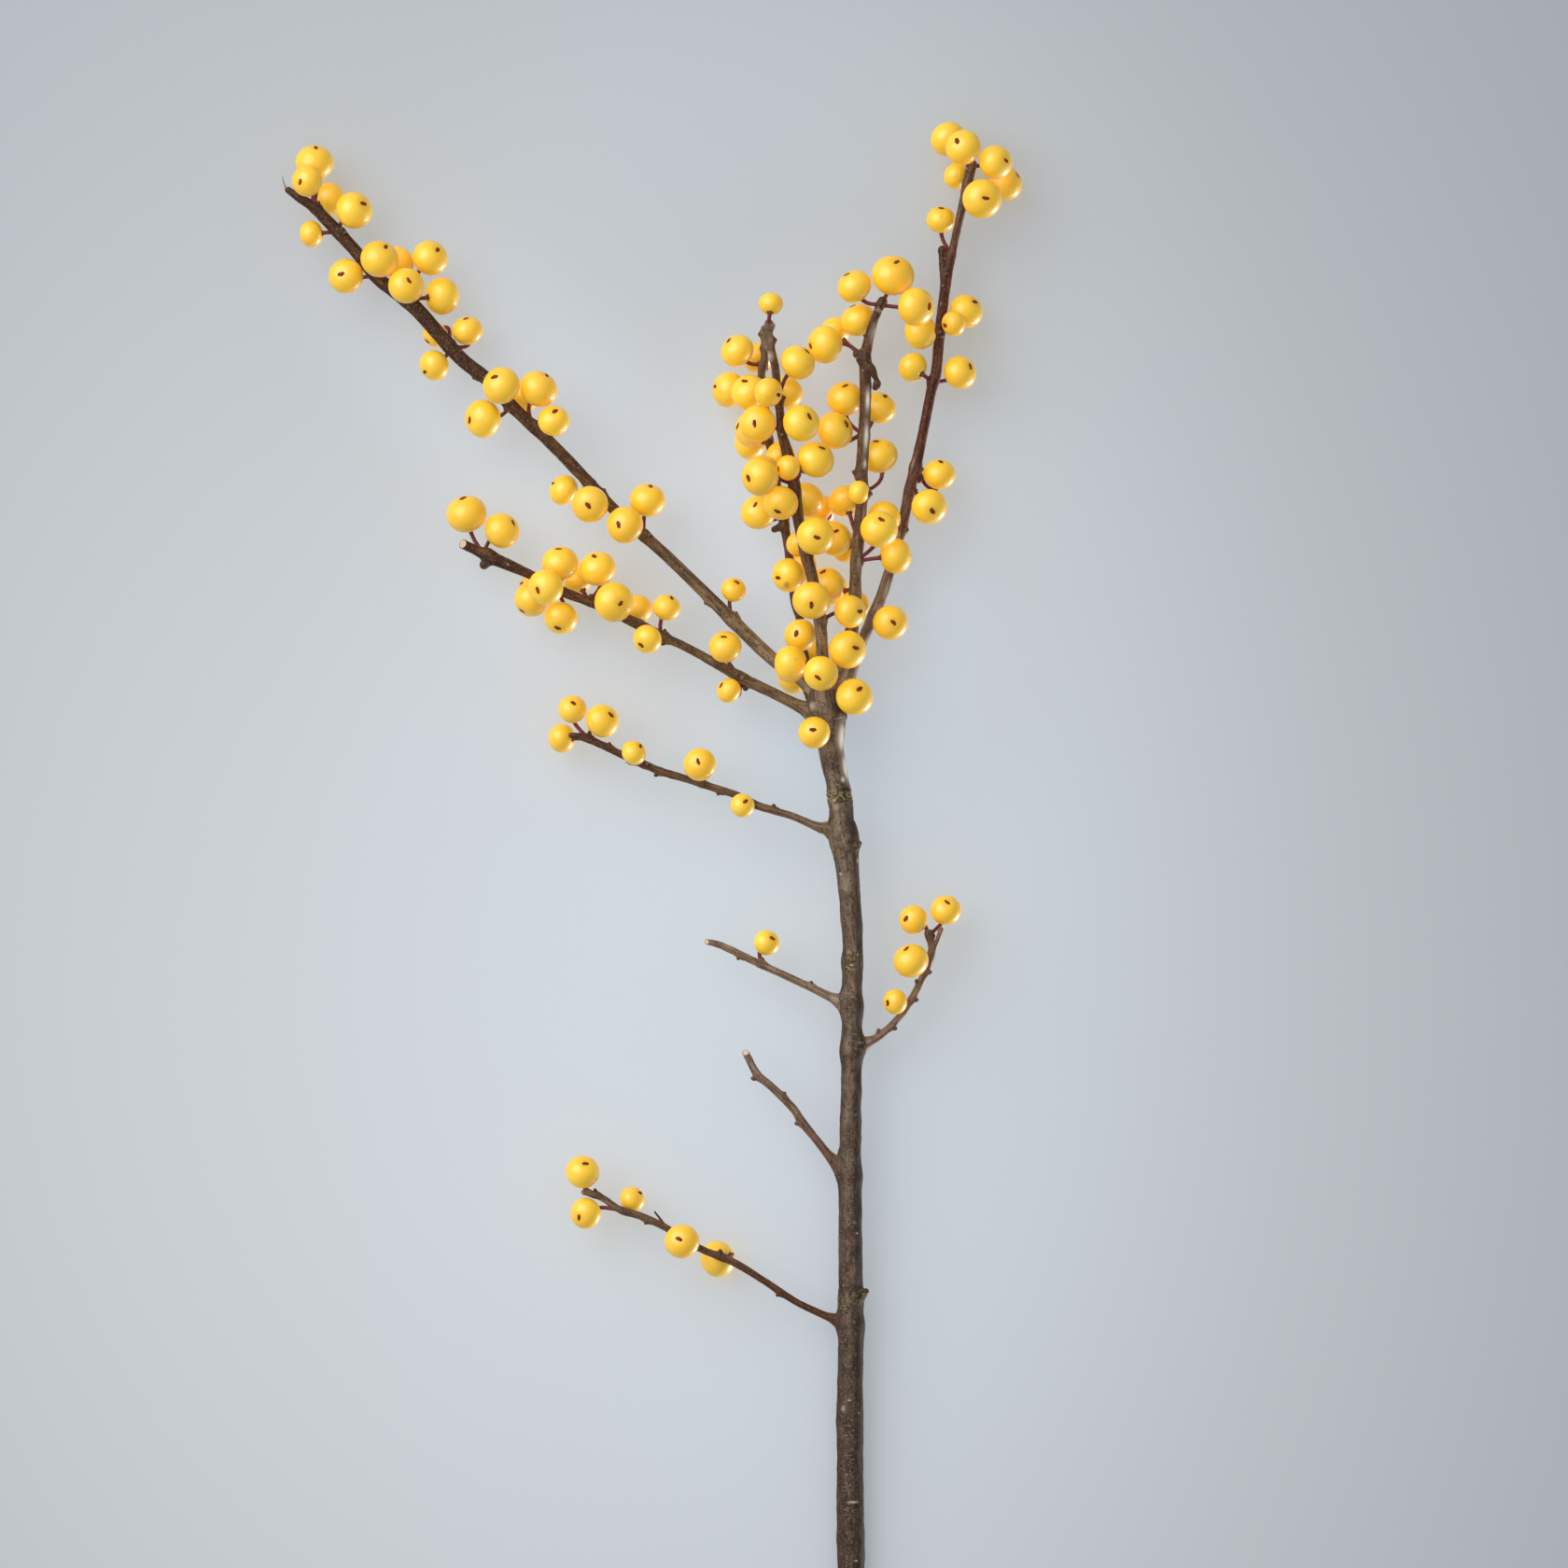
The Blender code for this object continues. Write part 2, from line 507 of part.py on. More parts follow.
def tube(name, places, sides):
    """A closed tapered tube through the places, with one facet facing straight down."""
    curve = bpy.data.curves.new(name, "CURVE")
    curve.dimensions = "3D"
    curve.twist_mode = "Z_UP"
    curve.bevel_depth = 0.5 * MM
    curve.bevel_resolution = (sides - 4) // 2
    curve.use_fill_caps = True
    spline = curve.splines.new("POLY")
    spline.points.add(len(places) - 1)
    for point, (x, y, z, width) in zip(spline.points, places):
        point.co = (x * MM, y * MM, z * MM, 1.0)
        point.radius = width * TUBE_FACET_ALLOWANCE[sides]
        point.tilt = math.pi / sides
    holder = new_piece(name + "_curve", curve)
    depsgraph = bpy.context.evaluated_depsgraph_get()
    mesh = bpy.data.meshes.new_from_object(holder.evaluated_get(depsgraph))
    weld = bmesh.new()
    weld.from_mesh(mesh)
    bmesh.ops.remove_doubles(weld, verts=weld.verts, dist=0.000001)
    weld.to_mesh(mesh)
    weld.free()
    piece = new_piece(name, mesh)
    piece.matrix_world = holder.matrix_world
    bpy.data.objects.remove(holder)
    bpy.data.curves.remove(curve)
    return piece


def berry_piece(name, berry, turn):
    """A slightly flattened faceted ball, standing on a facet where it touches the surface."""
    ball = bmesh.new()
    bmesh.ops.create_icosphere(ball, subdivisions=2, radius=berry.radius * BERRY_FACET_ALLOWANCE * MM)
    upright = berry.axis().to_track_quat("Z", "Y").to_matrix().to_4x4()
    form = upright @ Matrix.Diagonal((1, 1, BERRY_LENGTH, 1)) @ Matrix.Rotation(turn, 4, "Z")
    bmesh.ops.transform(ball, matrix=form, verts=ball.verts)
    if berry.rests:
        down = Vector((0, 0, -1))
        ball.normal_update()
        foot = max(ball.faces, key=lambda face: face.normal.dot(down))
        level = foot.normal.rotation_difference(down).to_matrix()
        bmesh.ops.rotate(ball, verts=ball.verts, cent=(0, 0, 0), matrix=level)
        lowest = min(vertex.co.z for vertex in ball.verts)
        bmesh.ops.translate(ball, verts=ball.verts, vec=(0, 0, -lowest - berry.centre.z * MM))
    bmesh.ops.translate(ball, verts=ball.verts, vec=berry.centre * MM)
    mesh = bpy.data.meshes.new(name)
    ball.to_mesh(mesh)
    ball.free()
    return new_piece(name, mesh)


def pedicel_piece(name, berry):
    """The fruit stalk, from the middle of the wood to well inside the berry."""
    axis = berry.axis()
    inside = berry.centre - axis * berry.radius * 0.6
    places = [(*point, PEDICEL_WIDTH) for point in (berry.root, inside)]
    return tube(name, places, PEDICEL_SIDES)


def berries_and_stalks(node, berries):
    golden_turn = math.radians(137.5)
    pieces = []
    for i, berry in enumerate(berries):
        pieces.append(pedicel_piece(f"{node}_pedicel_{i}", berry))
        pieces.append(berry_piece(f"{node}_berry_{i}", berry, golden_turn * i))
    return pieces


def fuse(base, pieces):
    """Join the pieces to the base as one body."""
    if not pieces:
        return
    group = bpy.data.collections.new(base.name + "_pieces")
    bpy.context.scene.collection.children.link(group)
    for piece in pieces:
        group.objects.link(piece)
    union = base.modifiers.new("union", "BOOLEAN")
    union.operation = "UNION"
    union.solver = "EXACT"
    union.operand_type = "COLLECTION"
    union.collection = group
    bpy.context.view_layer.objects.active = base
    bpy.ops.object.modifier_apply(modifier=union.name)
    for piece in pieces:
        bpy.data.objects.remove(piece)
    bpy.data.collections.remove(group)


def cut_stem(stem):
    """Slant the stem's lower end, as secateurs leave it."""
    lowest = min(vertex.co.y for vertex in stem.data.vertices)
    for vertex in stem.data.vertices:
        if vertex.co.y < lowest + 0.5 * MM:
            vertex.co.y += vertex.co.z * CUT_SLANT


def make_stem(walk, branch_walks, berries):
    stem = tube("main_stem", stretch(walk, 0, walk_length(walk), STEM_SPACING), STEM_TOP_SIDES)
    cut_stem(stem)
    collars = [
        tube(f"collar_{name}", stretch(branch, 0, SPRAYS[name]["collar"], TWIG_SPACING / 2), TWIG_SIDES)
        for name, branch in branch_walks.items()
    ]
    fuse(stem, collars + berries_and_stalks("main_stem", berries))
    return stem


def make_spray(name, walk, berries):
    spray = SPRAYS[name]
    foot = spray["collar"] + BRANCH_GAP
    wood = tube(name, stretch(walk, foot, walk_length(walk), TWIG_SPACING), TWIG_SIDES)
    offshoots = [
        tube(f"{name}_offshoot_{i}", route, TWIG_SIDES)
        for i, route in enumerate(spray["offshoots"])
    ]
    fuse(wood, offshoots + berries_and_stalks(name, berries))
    return wood


def finish_piece(piece, colour, roughness, home):
    """Give a finished piece its material and put it in the sprig, about its middle."""
    material = bpy.data.materials.new(piece.name)
    material.use_nodes = True
    shader = material.node_tree.nodes["Principled BSDF"]
    shader.inputs["Base Color"].default_value = colour
    shader.inputs["Roughness"].default_value = roughness
    shader.inputs["Metallic"].default_value = 0.0
    material.diffuse_color = colour
    piece.data.materials.clear()
    piece.data.materials.append(material)
    piece.data.shade_smooth()
    piece.data.set_sharp_from_angle(angle=math.radians(50))
    for collection in list(piece.users_collection):
        collection.objects.unlink(piece)
    home.objects.link(piece)
    piece.location = (-MIDDLE_X * MM, -MIDDLE_Y * MM, 0.0)


def main():
    for old in list(bpy.data.objects):
        bpy.data.objects.remove(old)
    home = bpy.data.collections.new("winterberry_sprig")
    bpy.context.scene.collection.children.link(home)

    stem_walk = smooth_walk(STEM_ROUTE)
    branch_walks = {name: smooth_walk(spray["route"]) for name, spray in SPRAYS.items()}
    berries = branch_berries("main_stem", stem_walk, STEM_AXILS)
    wood = [("main_stem", stem_walk)]
    for name, spray in SPRAYS.items():
        berries += branch_berries(name, branch_walks[name], spray["axils"])
        wood.append((name, branch_walks[name]))
        wood += [(name, smooth_walk(route)) for route in spray["offshoots"]]
    settle(berries, wood)

    own = [berry for berry in berries if berry.node == "main_stem"]
    finish_piece(make_stem(stem_walk, branch_walks, own), BARK_BROWN, 0.7, home)
    for name in SPRAYS:
        own = [berry for berry in berries if berry.node == name]
        colour, roughness = (BERRY_YELLOW, 0.35) if own else (BARK_BROWN, 0.7)
        finish_piece(make_spray(name, branch_walks[name], own), colour, roughness, home)


main()
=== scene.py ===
"""A cut sprig of yellow-berried winterberry, lying on a pale floor and seen from above.

The tables are in millimetres: x to the right of the stem, y up along it, z above the
floor. Each branch is a route of (x, y, z, width) points, and its berries hang in groups
from the axils, the places along it where leaves once grew.
"""
import json
import math

import bpy
import numpy as np
from mathutils import Matrix, Vector

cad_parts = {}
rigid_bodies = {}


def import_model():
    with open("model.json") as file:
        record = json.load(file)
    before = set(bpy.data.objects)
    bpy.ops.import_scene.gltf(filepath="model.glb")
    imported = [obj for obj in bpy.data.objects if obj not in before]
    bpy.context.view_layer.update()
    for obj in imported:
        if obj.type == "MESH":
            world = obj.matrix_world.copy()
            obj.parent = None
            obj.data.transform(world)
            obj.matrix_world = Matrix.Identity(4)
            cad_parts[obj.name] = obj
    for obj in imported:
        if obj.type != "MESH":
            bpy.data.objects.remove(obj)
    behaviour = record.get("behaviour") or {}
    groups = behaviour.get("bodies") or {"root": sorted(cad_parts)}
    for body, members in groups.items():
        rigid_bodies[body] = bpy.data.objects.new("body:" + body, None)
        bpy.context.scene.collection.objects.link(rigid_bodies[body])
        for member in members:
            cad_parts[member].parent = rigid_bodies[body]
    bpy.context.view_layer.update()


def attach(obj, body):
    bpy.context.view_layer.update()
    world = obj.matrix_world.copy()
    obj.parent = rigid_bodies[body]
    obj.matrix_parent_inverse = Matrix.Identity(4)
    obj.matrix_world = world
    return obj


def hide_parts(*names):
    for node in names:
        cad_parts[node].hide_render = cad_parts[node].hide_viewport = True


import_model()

MM = 0.001
ORIGIN = (-41.8, 135, 0)

# How the berries lie clear of each other, of the wood and of the floor, and how far beyond
# touch their neighbours are looked for.
BERRY_GAP = 0.3
SPRAY_GAP = 0.65
WOOD_GAP = 0.4
SURFACE_GAP = 0.4
SIDEWAYS_EASE = 0.3
LEAST_EASE = 0.05
SETTLE_ROUNDS = 300
PAIR_MARGIN = 3
WOOD_MARGIN = 6
WALK_STEP = 1.0
ON_SURFACE = None

# Where the scar end of a berry turns if its row doesn't say: outwards and a little down.
LEAST_OUTWARD = 0.3
DROOP_ABOVE = -0.15
DROOP_BELOW = -0.55

# Fineness of the skins.
STEM_STEP = 0.45
STEM_SIDES = 56
TWIG_STEP = 0.4
TWIG_SIDES = 28
SPUR_SIDES = 18
BUD_SIDES = 12
STALK_SIDES = 10
STALK_RINGS = 14
BERRY_SIDES = 44
BERRY_RINGS = 28
LENS_RINGS = 5
WISP_SIDES = 8

# Seeds of the random draws. Those for pores and bark are counted on from each wood's own.
STEM_SEED = 11
TWIG_SEED = 100
SPUR_SEED = 110
TWIG_SEED_STEP = 20
PORE_SEED = 3
BERRY_SEED = 500
LUMP_SEED = 900

# The ends of the wood: how steep the cuts are, how far along them the wood leans, and how
# the rings draw in on a cut and on a rounded tip.
FOOT_SLANT = 0.6
FOOT_FADE = 9.0
TIP_SLANT = 0.75
TIP_FADE = 2.5
CUT_SHARES = (0.86, 0.5, 0.14)
TIP_SHARES = (0.94, 0.78, 0.52, 0.24)
TIP_RISE = 1.1
TIP_POINT = 1.04

# Round the foot of a branch the bark runs in one curve from stem to branch.
FILLET = 3.4
FILLET_MOST = 0.8
STEM_FILLET = 1.7
SPUR_FILLET = 0.9
FOOT_LENGTH = 14.0
FORK_SPAN = 6
FLARE = 0.3
FLARE_LENGTH = 3.4

# Relief of the bark: stretch, distance between humps and weight of its ridges and of its
# fine unevenness, stretch and distance of its slow waves, and the crust of rough places, by
# the count of its seed. Then the height of it all and the weight of the slow waves on the
# stem and on the branches, and how rough and dark dead spurs, lumps and marks are.
BARK_WAVES = (((1, 1, 0.12), 1.5, 0.45), ((1, 1, 0.5), 0.8, 0.4))
SLOW_WAVES = ((0.4, 0.4, 1), 7.0)
CRUST_WAVES = {4: 0.75, 5: 0.45}
CRUST_DEPTH = 0.09
PITCH_SPREAD = (0.7, 1.6)
RIPPLE_PEAK = 1.4
STEM_RELIEF = (0.12, 0.6)
TWIG_RELIEF = (0.055, 0.25)
SPUR_ROUGH = 0.45
SPUR_DARK = 0.4
KNOB_ROUGH = 0.6
MARK_HEIGHT = 0.05

# Pores: how many to a millimetre, their width and length and how pale they are at most.
STEM_PORES = (1.4, 0.42, 0.12, 1.0)
TWIG_PORES = (0.8, 0.2, 0.16, 0.6)
PORE_SIZES = (0.6, 1.25)
PORE_PALE = 0.3

# Bark by its girth: the radius where it begins to age, and the growth until it is old. The
# directions of the painted light on the stem and on the branches: bark facing them is painted
# lighter, bark facing away is painted with shade.
YOUNG_RADIUS = 0.7
AGE_SPAN = 1.8
STEM_PAINTED_LIGHT = (-0.95, 0.0, 0.3)
TWIG_PAINTED_LIGHT = (0.8, -0.6, 0.0)

# A bud's rings: how far along it they are, how wide and how dark.
BUD_ALONG = np.array([0.0, 0.15, 0.34, 0.44, 0.5, 0.68, 0.78, 0.84, 0.93, 0.98, 1.0])
BUD_ROUND = np.array([0.95, 1.06, 1.1, 1.02, 0.92, 0.88, 0.76, 0.66, 0.5, 0.28, 0.08])
BUD_DARK = np.array([0.5, 0.2, 0.0, 0.2, 0.9, 0.2, 0.2, 0.8, 0.3, 0.2, 0.2])
BUD_LEAN = 0.7

# Stalks: width, where in the wood's radius they start, how far they stay off the fruit and
# sink into their own, and the rounds and the reach of keeping off it.
STALK_WIDTH = 0.85
STALK_START = 0.55
STALK_GAP = 0.45
STALK_SINK = 0.2
STALK_ROUNDS = 6
NEAR_FRUIT = 16

# A fruit of radius 1: its half width and length, the hollows at its ends, its lumps, the
# reach of the painted shade round its scar, and the scar's size.
FRUIT_WIDTH = 1.015
FRUIT_LENGTH = 0.91
SCAR_HOLLOW = 0.05
STALK_HOLLOW = 0.06
HOLLOW_REACH = 0.3
SCAR_SINK = 0.052
LUMP_HEIGHT = 0.011
LUMP_PITCH = 2.6
SCAR_SHADE_REACH = 0.42
SCAR_SIZE = (0.36, 0.11)
SCAR_NARROW = (0.55, 0.78)
SCAR_HEIGHT = 0.13
CALYX_HEIGHT = 0.16
GOLDEN_TURN = math.radians(137.5)

# The camera's view, the floor and the lights' aim, in metres.
VIEW_WIDTH = 0.336
VIEW_MIDDLE = (0.0278, 0.033)
CAMERA_HEIGHT = 3.2
CAMERA_RISE = 0.01
FLOOR_HALF = 6.0
LIT_MIDDLE = (0.02, 0.03, 0.01)

# Area lights: place, size, power and tint, and whether they cast shadows.
LIGHTS = {
    "key_light": ((-1.1, 0.92, 1.3), (1.9, 1.9), 13.0, (1.0, 0.98, 0.95), True),
    "fill_light": ((-1.1, 0.92, 1.3), (1.9, 1.9), 27.0, (1.0, 0.98, 0.95), False),
    "rim_light": ((0.95, -0.6, -0.58), (0.48, 0.11), 12.0, (1.0, 0.97, 0.95), True),
    "glow_light": ((0.95, -0.6, -0.3), (1.6, 0.5), 3.5, (1.0, 0.97, 0.93), False),
}
SKY_TINT = (0.92, 0.96, 1.0, 1.0)
SKY_TOWARDS = (-0.5, 0.35, 0.79)
SKY_RANGE = (-0.8, 1.0)
SKY_STRENGTH = (0.11, 0.69)

# Mottled skins: the places of their noise and its scale, their dark and light tint, depth and
# strength of their relief, roughness and shine, then layers: value, low, high, top and tint.
MOTTLED = {
    "cut_wood": (
        "place", 2600.0, (0.42, 0.29, 0.16), (0.68, 0.54, 0.36), 0.06, 0.6, 0.75, 0.5,
    ),
    "fruit_stalk": (
        "grain", 1.6, (0.08, 0.01, 0.013), (0.19, 0.032, 0.034), 0.06, 0.5, 0.5, 0.2,
        ("age", 0.75, 1.0, 0.35, (0.2, 0.095, 0.03)), ("dark", 0.3, 1.0, 0.7, (0.035, 0.014, 0.01)),
    ),
    "berry_scar": (
        "grain", 3.0, (0.085, 0.014, 0.004), (0.26, 0.07, 0.014), 0.08, 0.8, 0.8, 0.1,
    ),
    "berry_calyx": (
        "grain", 2.4, (0.06, 0.026, 0.014), (0.16, 0.085, 0.035), 0.06, 0.6, 0.8, 0.1,
    ),
}

# The floor's tint at its dim edges, and soft patches of painted light over it: a broad pool of
# painted light round the stem's foot, a cool lift round the sprig's middle, a dimmer patch
# above, and cool pale patches that paint out the shade and yellow bounce under the fruit:
# middle, stretch, turn, reach and share, tint.
FLOOR_TINT = (0.35, 0.376, 0.402)
SHADE_LIFT = (0.61, 0.76, 0.98)
FLOOR_PAINTED_LIGHT = (
    ((-0.01, -0.045), (0.95, 1.2), 0, 0.36, 1.0, (0.595, 0.625, 0.655)),
    ((0.03, 0.022), (0.5, 1.0), 0, 0.25, 0.25, (0.7, 0.82, 0.94)),
    ((0.026, 0.14), (1.0, 0.8), 0, 0.075, 0.25, (0.36, 0.39, 0.43)),
    ((0.037, 0.082), (0.6, 1.0), 0, 0.076, 0.65, SHADE_LIFT),
    ((-0.03, 0.116), (2.4, 1.0), 137, 0.034, 0.32, SHADE_LIFT),
    ((-0.02, 0.076), (1.5, 1.0), 154, 0.026, 0.35, SHADE_LIFT),
)

# Each node's way from its foot to its tip.
ROUTES = {
    "main_stem": [
        (0.5, -40, 2.95, 6), (0.4, -18, 2.95, 6), (0.4, 0, 3.3, 5.9), (0.2, 16, 3.9, 5.8),
        (0.2, 36, 4.9, 5.6), (0.4, 56, 5.9, 5.3), (0.2, 76, 6.8, 5), (0.3, 98, 7.8, 4.5),
        (0.6, 116, 8.6, 4.4), (0.6, 130, 9.3, 4.5), (0.6, 136, 9.6, 4.4), (-0.8, 156, 10.6, 5.2),
        (-1.5, 160, 10.8, 5), (-2.2, 166, 11.1, 5), (-4, 176, 11.6, 5.4), (-5, 183, 12, 6.2),
        (-5.4, 187, 12.4, 5.2),
    ],
    "spray_left_upper": [
        (-5.6, 185, 12, 3.4), (-8.4, 189.6, 11.2, 3), (-15, 193.6, 10.2, 2.9), (-23, 201, 10.4, 2.9),
        (-32, 210, 11.2, 2.6), (-38, 215.8, 11.6, 2.5), (-44, 221.2, 11.9, 2.5), (-50, 226.4, 12.1, 2.5),
        (-54, 230.6, 12.2, 2.5), (-60, 237, 12.2, 2.6), (-65, 242, 12.1, 2.6), (-73, 249.6, 11.8, 2.7),
        (-78, 255, 11.6, 2.9), (-82.4, 258.4, 11.4, 3), (-86.4, 262.6, 11.1, 3.1), (-93, 270, 10.7, 3.2),
        (-98, 274, 10.4, 3), (-101, 276.4, 10.2, 2.9), (-106, 282.4, 9.9, 2.7), (-111.6, 288.4, 9.6, 2.6),
        (-114.8, 291.6, 9.5, 2.2), (-117.6, 293.4, 9.5, 1.9), (-120.2, 295.2, 9.4, 1.5),
    ],
    "spray_left_lower": [
        (-5.6, 181.5, 11.6, 3), (-9.6, 184, 11.2, 2.6), (-16.2, 187.4, 10.6, 2.4),
        (-22.8, 190.6, 10.2, 2.4), (-34, 196.8, 10, 1.8), (-39.6, 199.4, 10, 2), (-46, 202.6, 10, 2.2),
        (-54.8, 206.7, 10, 2), (-61.4, 209.2, 10, 2.2), (-67.8, 212.6, 10, 2), (-76.4, 216.4, 10, 2.8),
        (-79, 217.6, 10, 2.2), (-82.8, 219.4, 10, 2),
    ],
    "spray_centre_front": [
        (-5.2, 183.5, 12.2, 4), (-5.2, 187, 12.8, 3), (-5.5, 191.5, 13.8, 2.7), (-5.8, 196.4, 15, 2.6),
        (-6.2, 202, 16, 2.6), (-7.9, 212, 17, 2.5), (-9.2, 216.6, 17.4, 2.5), (-11, 224.8, 18, 2.4),
        (-11.6, 231, 18, 2.4), (-13.4, 239.1, 18.5, 2.3), (-14.4, 242.8, 18.8, 2), (-14.8, 247, 19, 1.8),
        (-15.6, 254.2, 19.4, 1.7), (-16, 257.6, 19.5, 1.8), (-16.6, 260, 19.6, 1.8),
        (-17.2, 263.8, 19.8, 1.6), (-17.4, 266.4, 20, 1.5),
    ],
    "spray_centre_back": [
        (-5.8, 184, 12, 3), (-8.2, 188.4, 11, 2.2), (-9.4, 194, 9, 1.9), (-10.2, 199.5, 8.2, 1.7),
        (-10.5, 203.2, 8, 1.7), (-11.8, 207.4, 8, 1.7), (-13, 217.4, 8, 1.7), (-13.9, 223.6, 8, 2),
        (-15.4, 232, 8, 1.7), (-17, 240.6, 8, 1.7), (-18, 248, 8.2, 1.7), (-18.8, 255.4, 8.5, 1.7),
        (-18.2, 259, 8.7, 1.6), (-18.2, 265.6, 9, 1.4),
    ],
    "spray_centre_right": [
        (-4.6, 183.5, 12.2, 3.6), (-3.4, 188.4, 12.4, 2.8), (-1.4, 193.6, 12.5, 2.6), (0.4, 200, 12.5, 2.6),
        (1.2, 208, 13, 2.6), (1.4, 214.8, 14, 2.5), (2.2, 224, 15, 2.5), (2.8, 231, 15.4, 2.5),
        (2.6, 234.5, 15.5, 2.7), (3, 240.8, 15.5, 2.5), (3.4, 249.6, 15.5, 2.5), (3.4, 256, 15.6, 2.5),
        (3.5, 260, 15.7, 2.3), (4.8, 265.8, 15.9, 1.8), (6.1, 269.3, 16, 1.7), (7, 271.2, 16, 2),
    ],
    "spray_right": [
        (-3.6, 180.6, 11.6, 3), (-2, 184.2, 11, 2.6), (-0.6, 188, 10.4, 2.5), (1.6, 195.8, 9.8, 2.4),
        (4, 201.4, 9.6, 2.4), (6.4, 207, 9.5, 2.4), (8, 211.8, 9.5, 2.3), (11.4, 223.6, 9.5, 2.3),
        (12.8, 230.6, 9.5, 2.3), (14.2, 236, 9.5, 2.4), (15.6, 242.4, 9.5, 2.2), (17.5, 252, 9.5, 2.2),
        (18.6, 256.4, 9.5, 2.3), (19.2, 263, 9.5, 2.2), (20, 270, 9.5, 2.2), (20.8, 276, 9.5, 2.1),
        (22.4, 283.6, 9.5, 1.7), (24.2, 291.6, 9.5, 1.8), (25.6, 298, 9.5, 2.2), (26.4, 300.8, 9.5, 1.8),
    ],
    "twig_left_1": [
        (-1, 156.6, 10.6, 2.6), (-4, 158.3, 10.6, 2.2), (-7.6, 159.2, 10.4, 1.8), (-12.4, 161.2, 10.2, 1.6),
        (-19.8, 163.4, 10, 1.7), (-24.2, 165.6, 9.9, 1.6), (-29.6, 167.4, 9.8, 1.6), (-34.6, 169, 9.7, 1.6),
        (-39.4, 170.4, 9.7, 1.7), (-43.8, 172.1, 9.6, 1.6), (-48.8, 174.3, 9.6, 1.6),
        (-56, 177.7, 9.5, 1.6), (-59.4, 178.4, 9.5, 1.4),
    ],
    "twig_left_2": [
        (0.4, 120, 8.9, 2.6), (-3, 121.8, 8.9, 2), (-10.4, 125.4, 8.9, 1.6), (-18.9, 129.3, 9, 1.6),
        (-27, 133.2, 9, 1.5), (-30.6, 134.2, 9, 1.2),
    ],
    "twig_left_3": [
        (0.2, 83.6, 7.2, 2.6), (-2.8, 86.4, 7.4, 2.2), (-6.5, 91, 7.8, 1.8), (-10, 95.4, 8.1, 1.8),
        (-12.2, 98.6, 8.3, 1.7), (-16.8, 103.2, 8.6, 1.7), (-19.8, 105.9, 8.8, 1.7), (-22.2, 110.4, 9, 1.5),
    ],
    "twig_left_4": [
        (0.3, 51.6, 5.8, 2.6), (-2.8, 53, 6, 2), (-6.8, 54.7, 6.5, 1.6), (-12, 57.3, 7.5, 1.5),
        (-18.4, 61.6, 8.7, 1.5), (-25, 65.6, 9.5, 1.6), (-31.9, 68.4, 9.6, 1.5), (-39.3, 72.9, 9.4, 1.5),
        (-44.5, 75.3, 9.1, 1.6), (-49.2, 76.8, 8.9, 1.5), (-53.2, 79.4, 8.7, 1.4), (-56.8, 80.5, 8.6, 1.2),
    ],
    "twig_right_1": [
        (0.6, 110.6, 8.4, 2.6), (3.6, 112.4, 8.5, 2), (6.8, 114.2, 8.7, 1.6), (10.9, 118.3, 9, 1.5),
        (13.8, 122.8, 9.3, 1.5), (15.8, 126.8, 9.5, 1.4), (17.6, 132.2, 9.6, 1.5), (16.8, 136.2, 9.7, 1.2),
    ],
}

# Short offshoots, as the fruit keeps clear of them.
SPURS = {
    "spray_left_lower": [
        [(-76.6, 216.5, 10, 2.2), (-78.4, 214.6, 10, 2)],
        [(-22.8, 190.6, 10.2, 2), (-22.2, 188.2, 10.2, 1.6)],
    ],
    "spray_centre_back": [[(-13.9, 223.6, 8, 1.8), (-16, 222.6, 8, 1.4)]],
    "spray_centre_right": [
        [(3.8, 257.4, 15.6, 2.2), (5, 256, 15.7, 2), (5.9, 252.8, 15.8, 1.7)],
        [(3.4, 258.4, 15.6, 2.2), (1.6, 259.8, 15.7, 1.9)],
    ],
    "spray_right": [
        [(20.6, 275.2, 9.5, 1.9), (20.1, 278.4, 9.3, 1.8), (20, 282.2, 9, 1.8)],
        [(14, 235.8, 9.5, 1.9), (14.9, 233.4, 9.5, 1.6)],
    ],
    "twig_left_4": [[(-39.6, 73, 9.4, 1.3), (-41.6, 76.2, 9.7, 0.8)]],
    "twig_right_1": [[(17.4, 131.4, 9.6, 1.4), (19.6, 136.8, 9.8, 1.2)]],
}

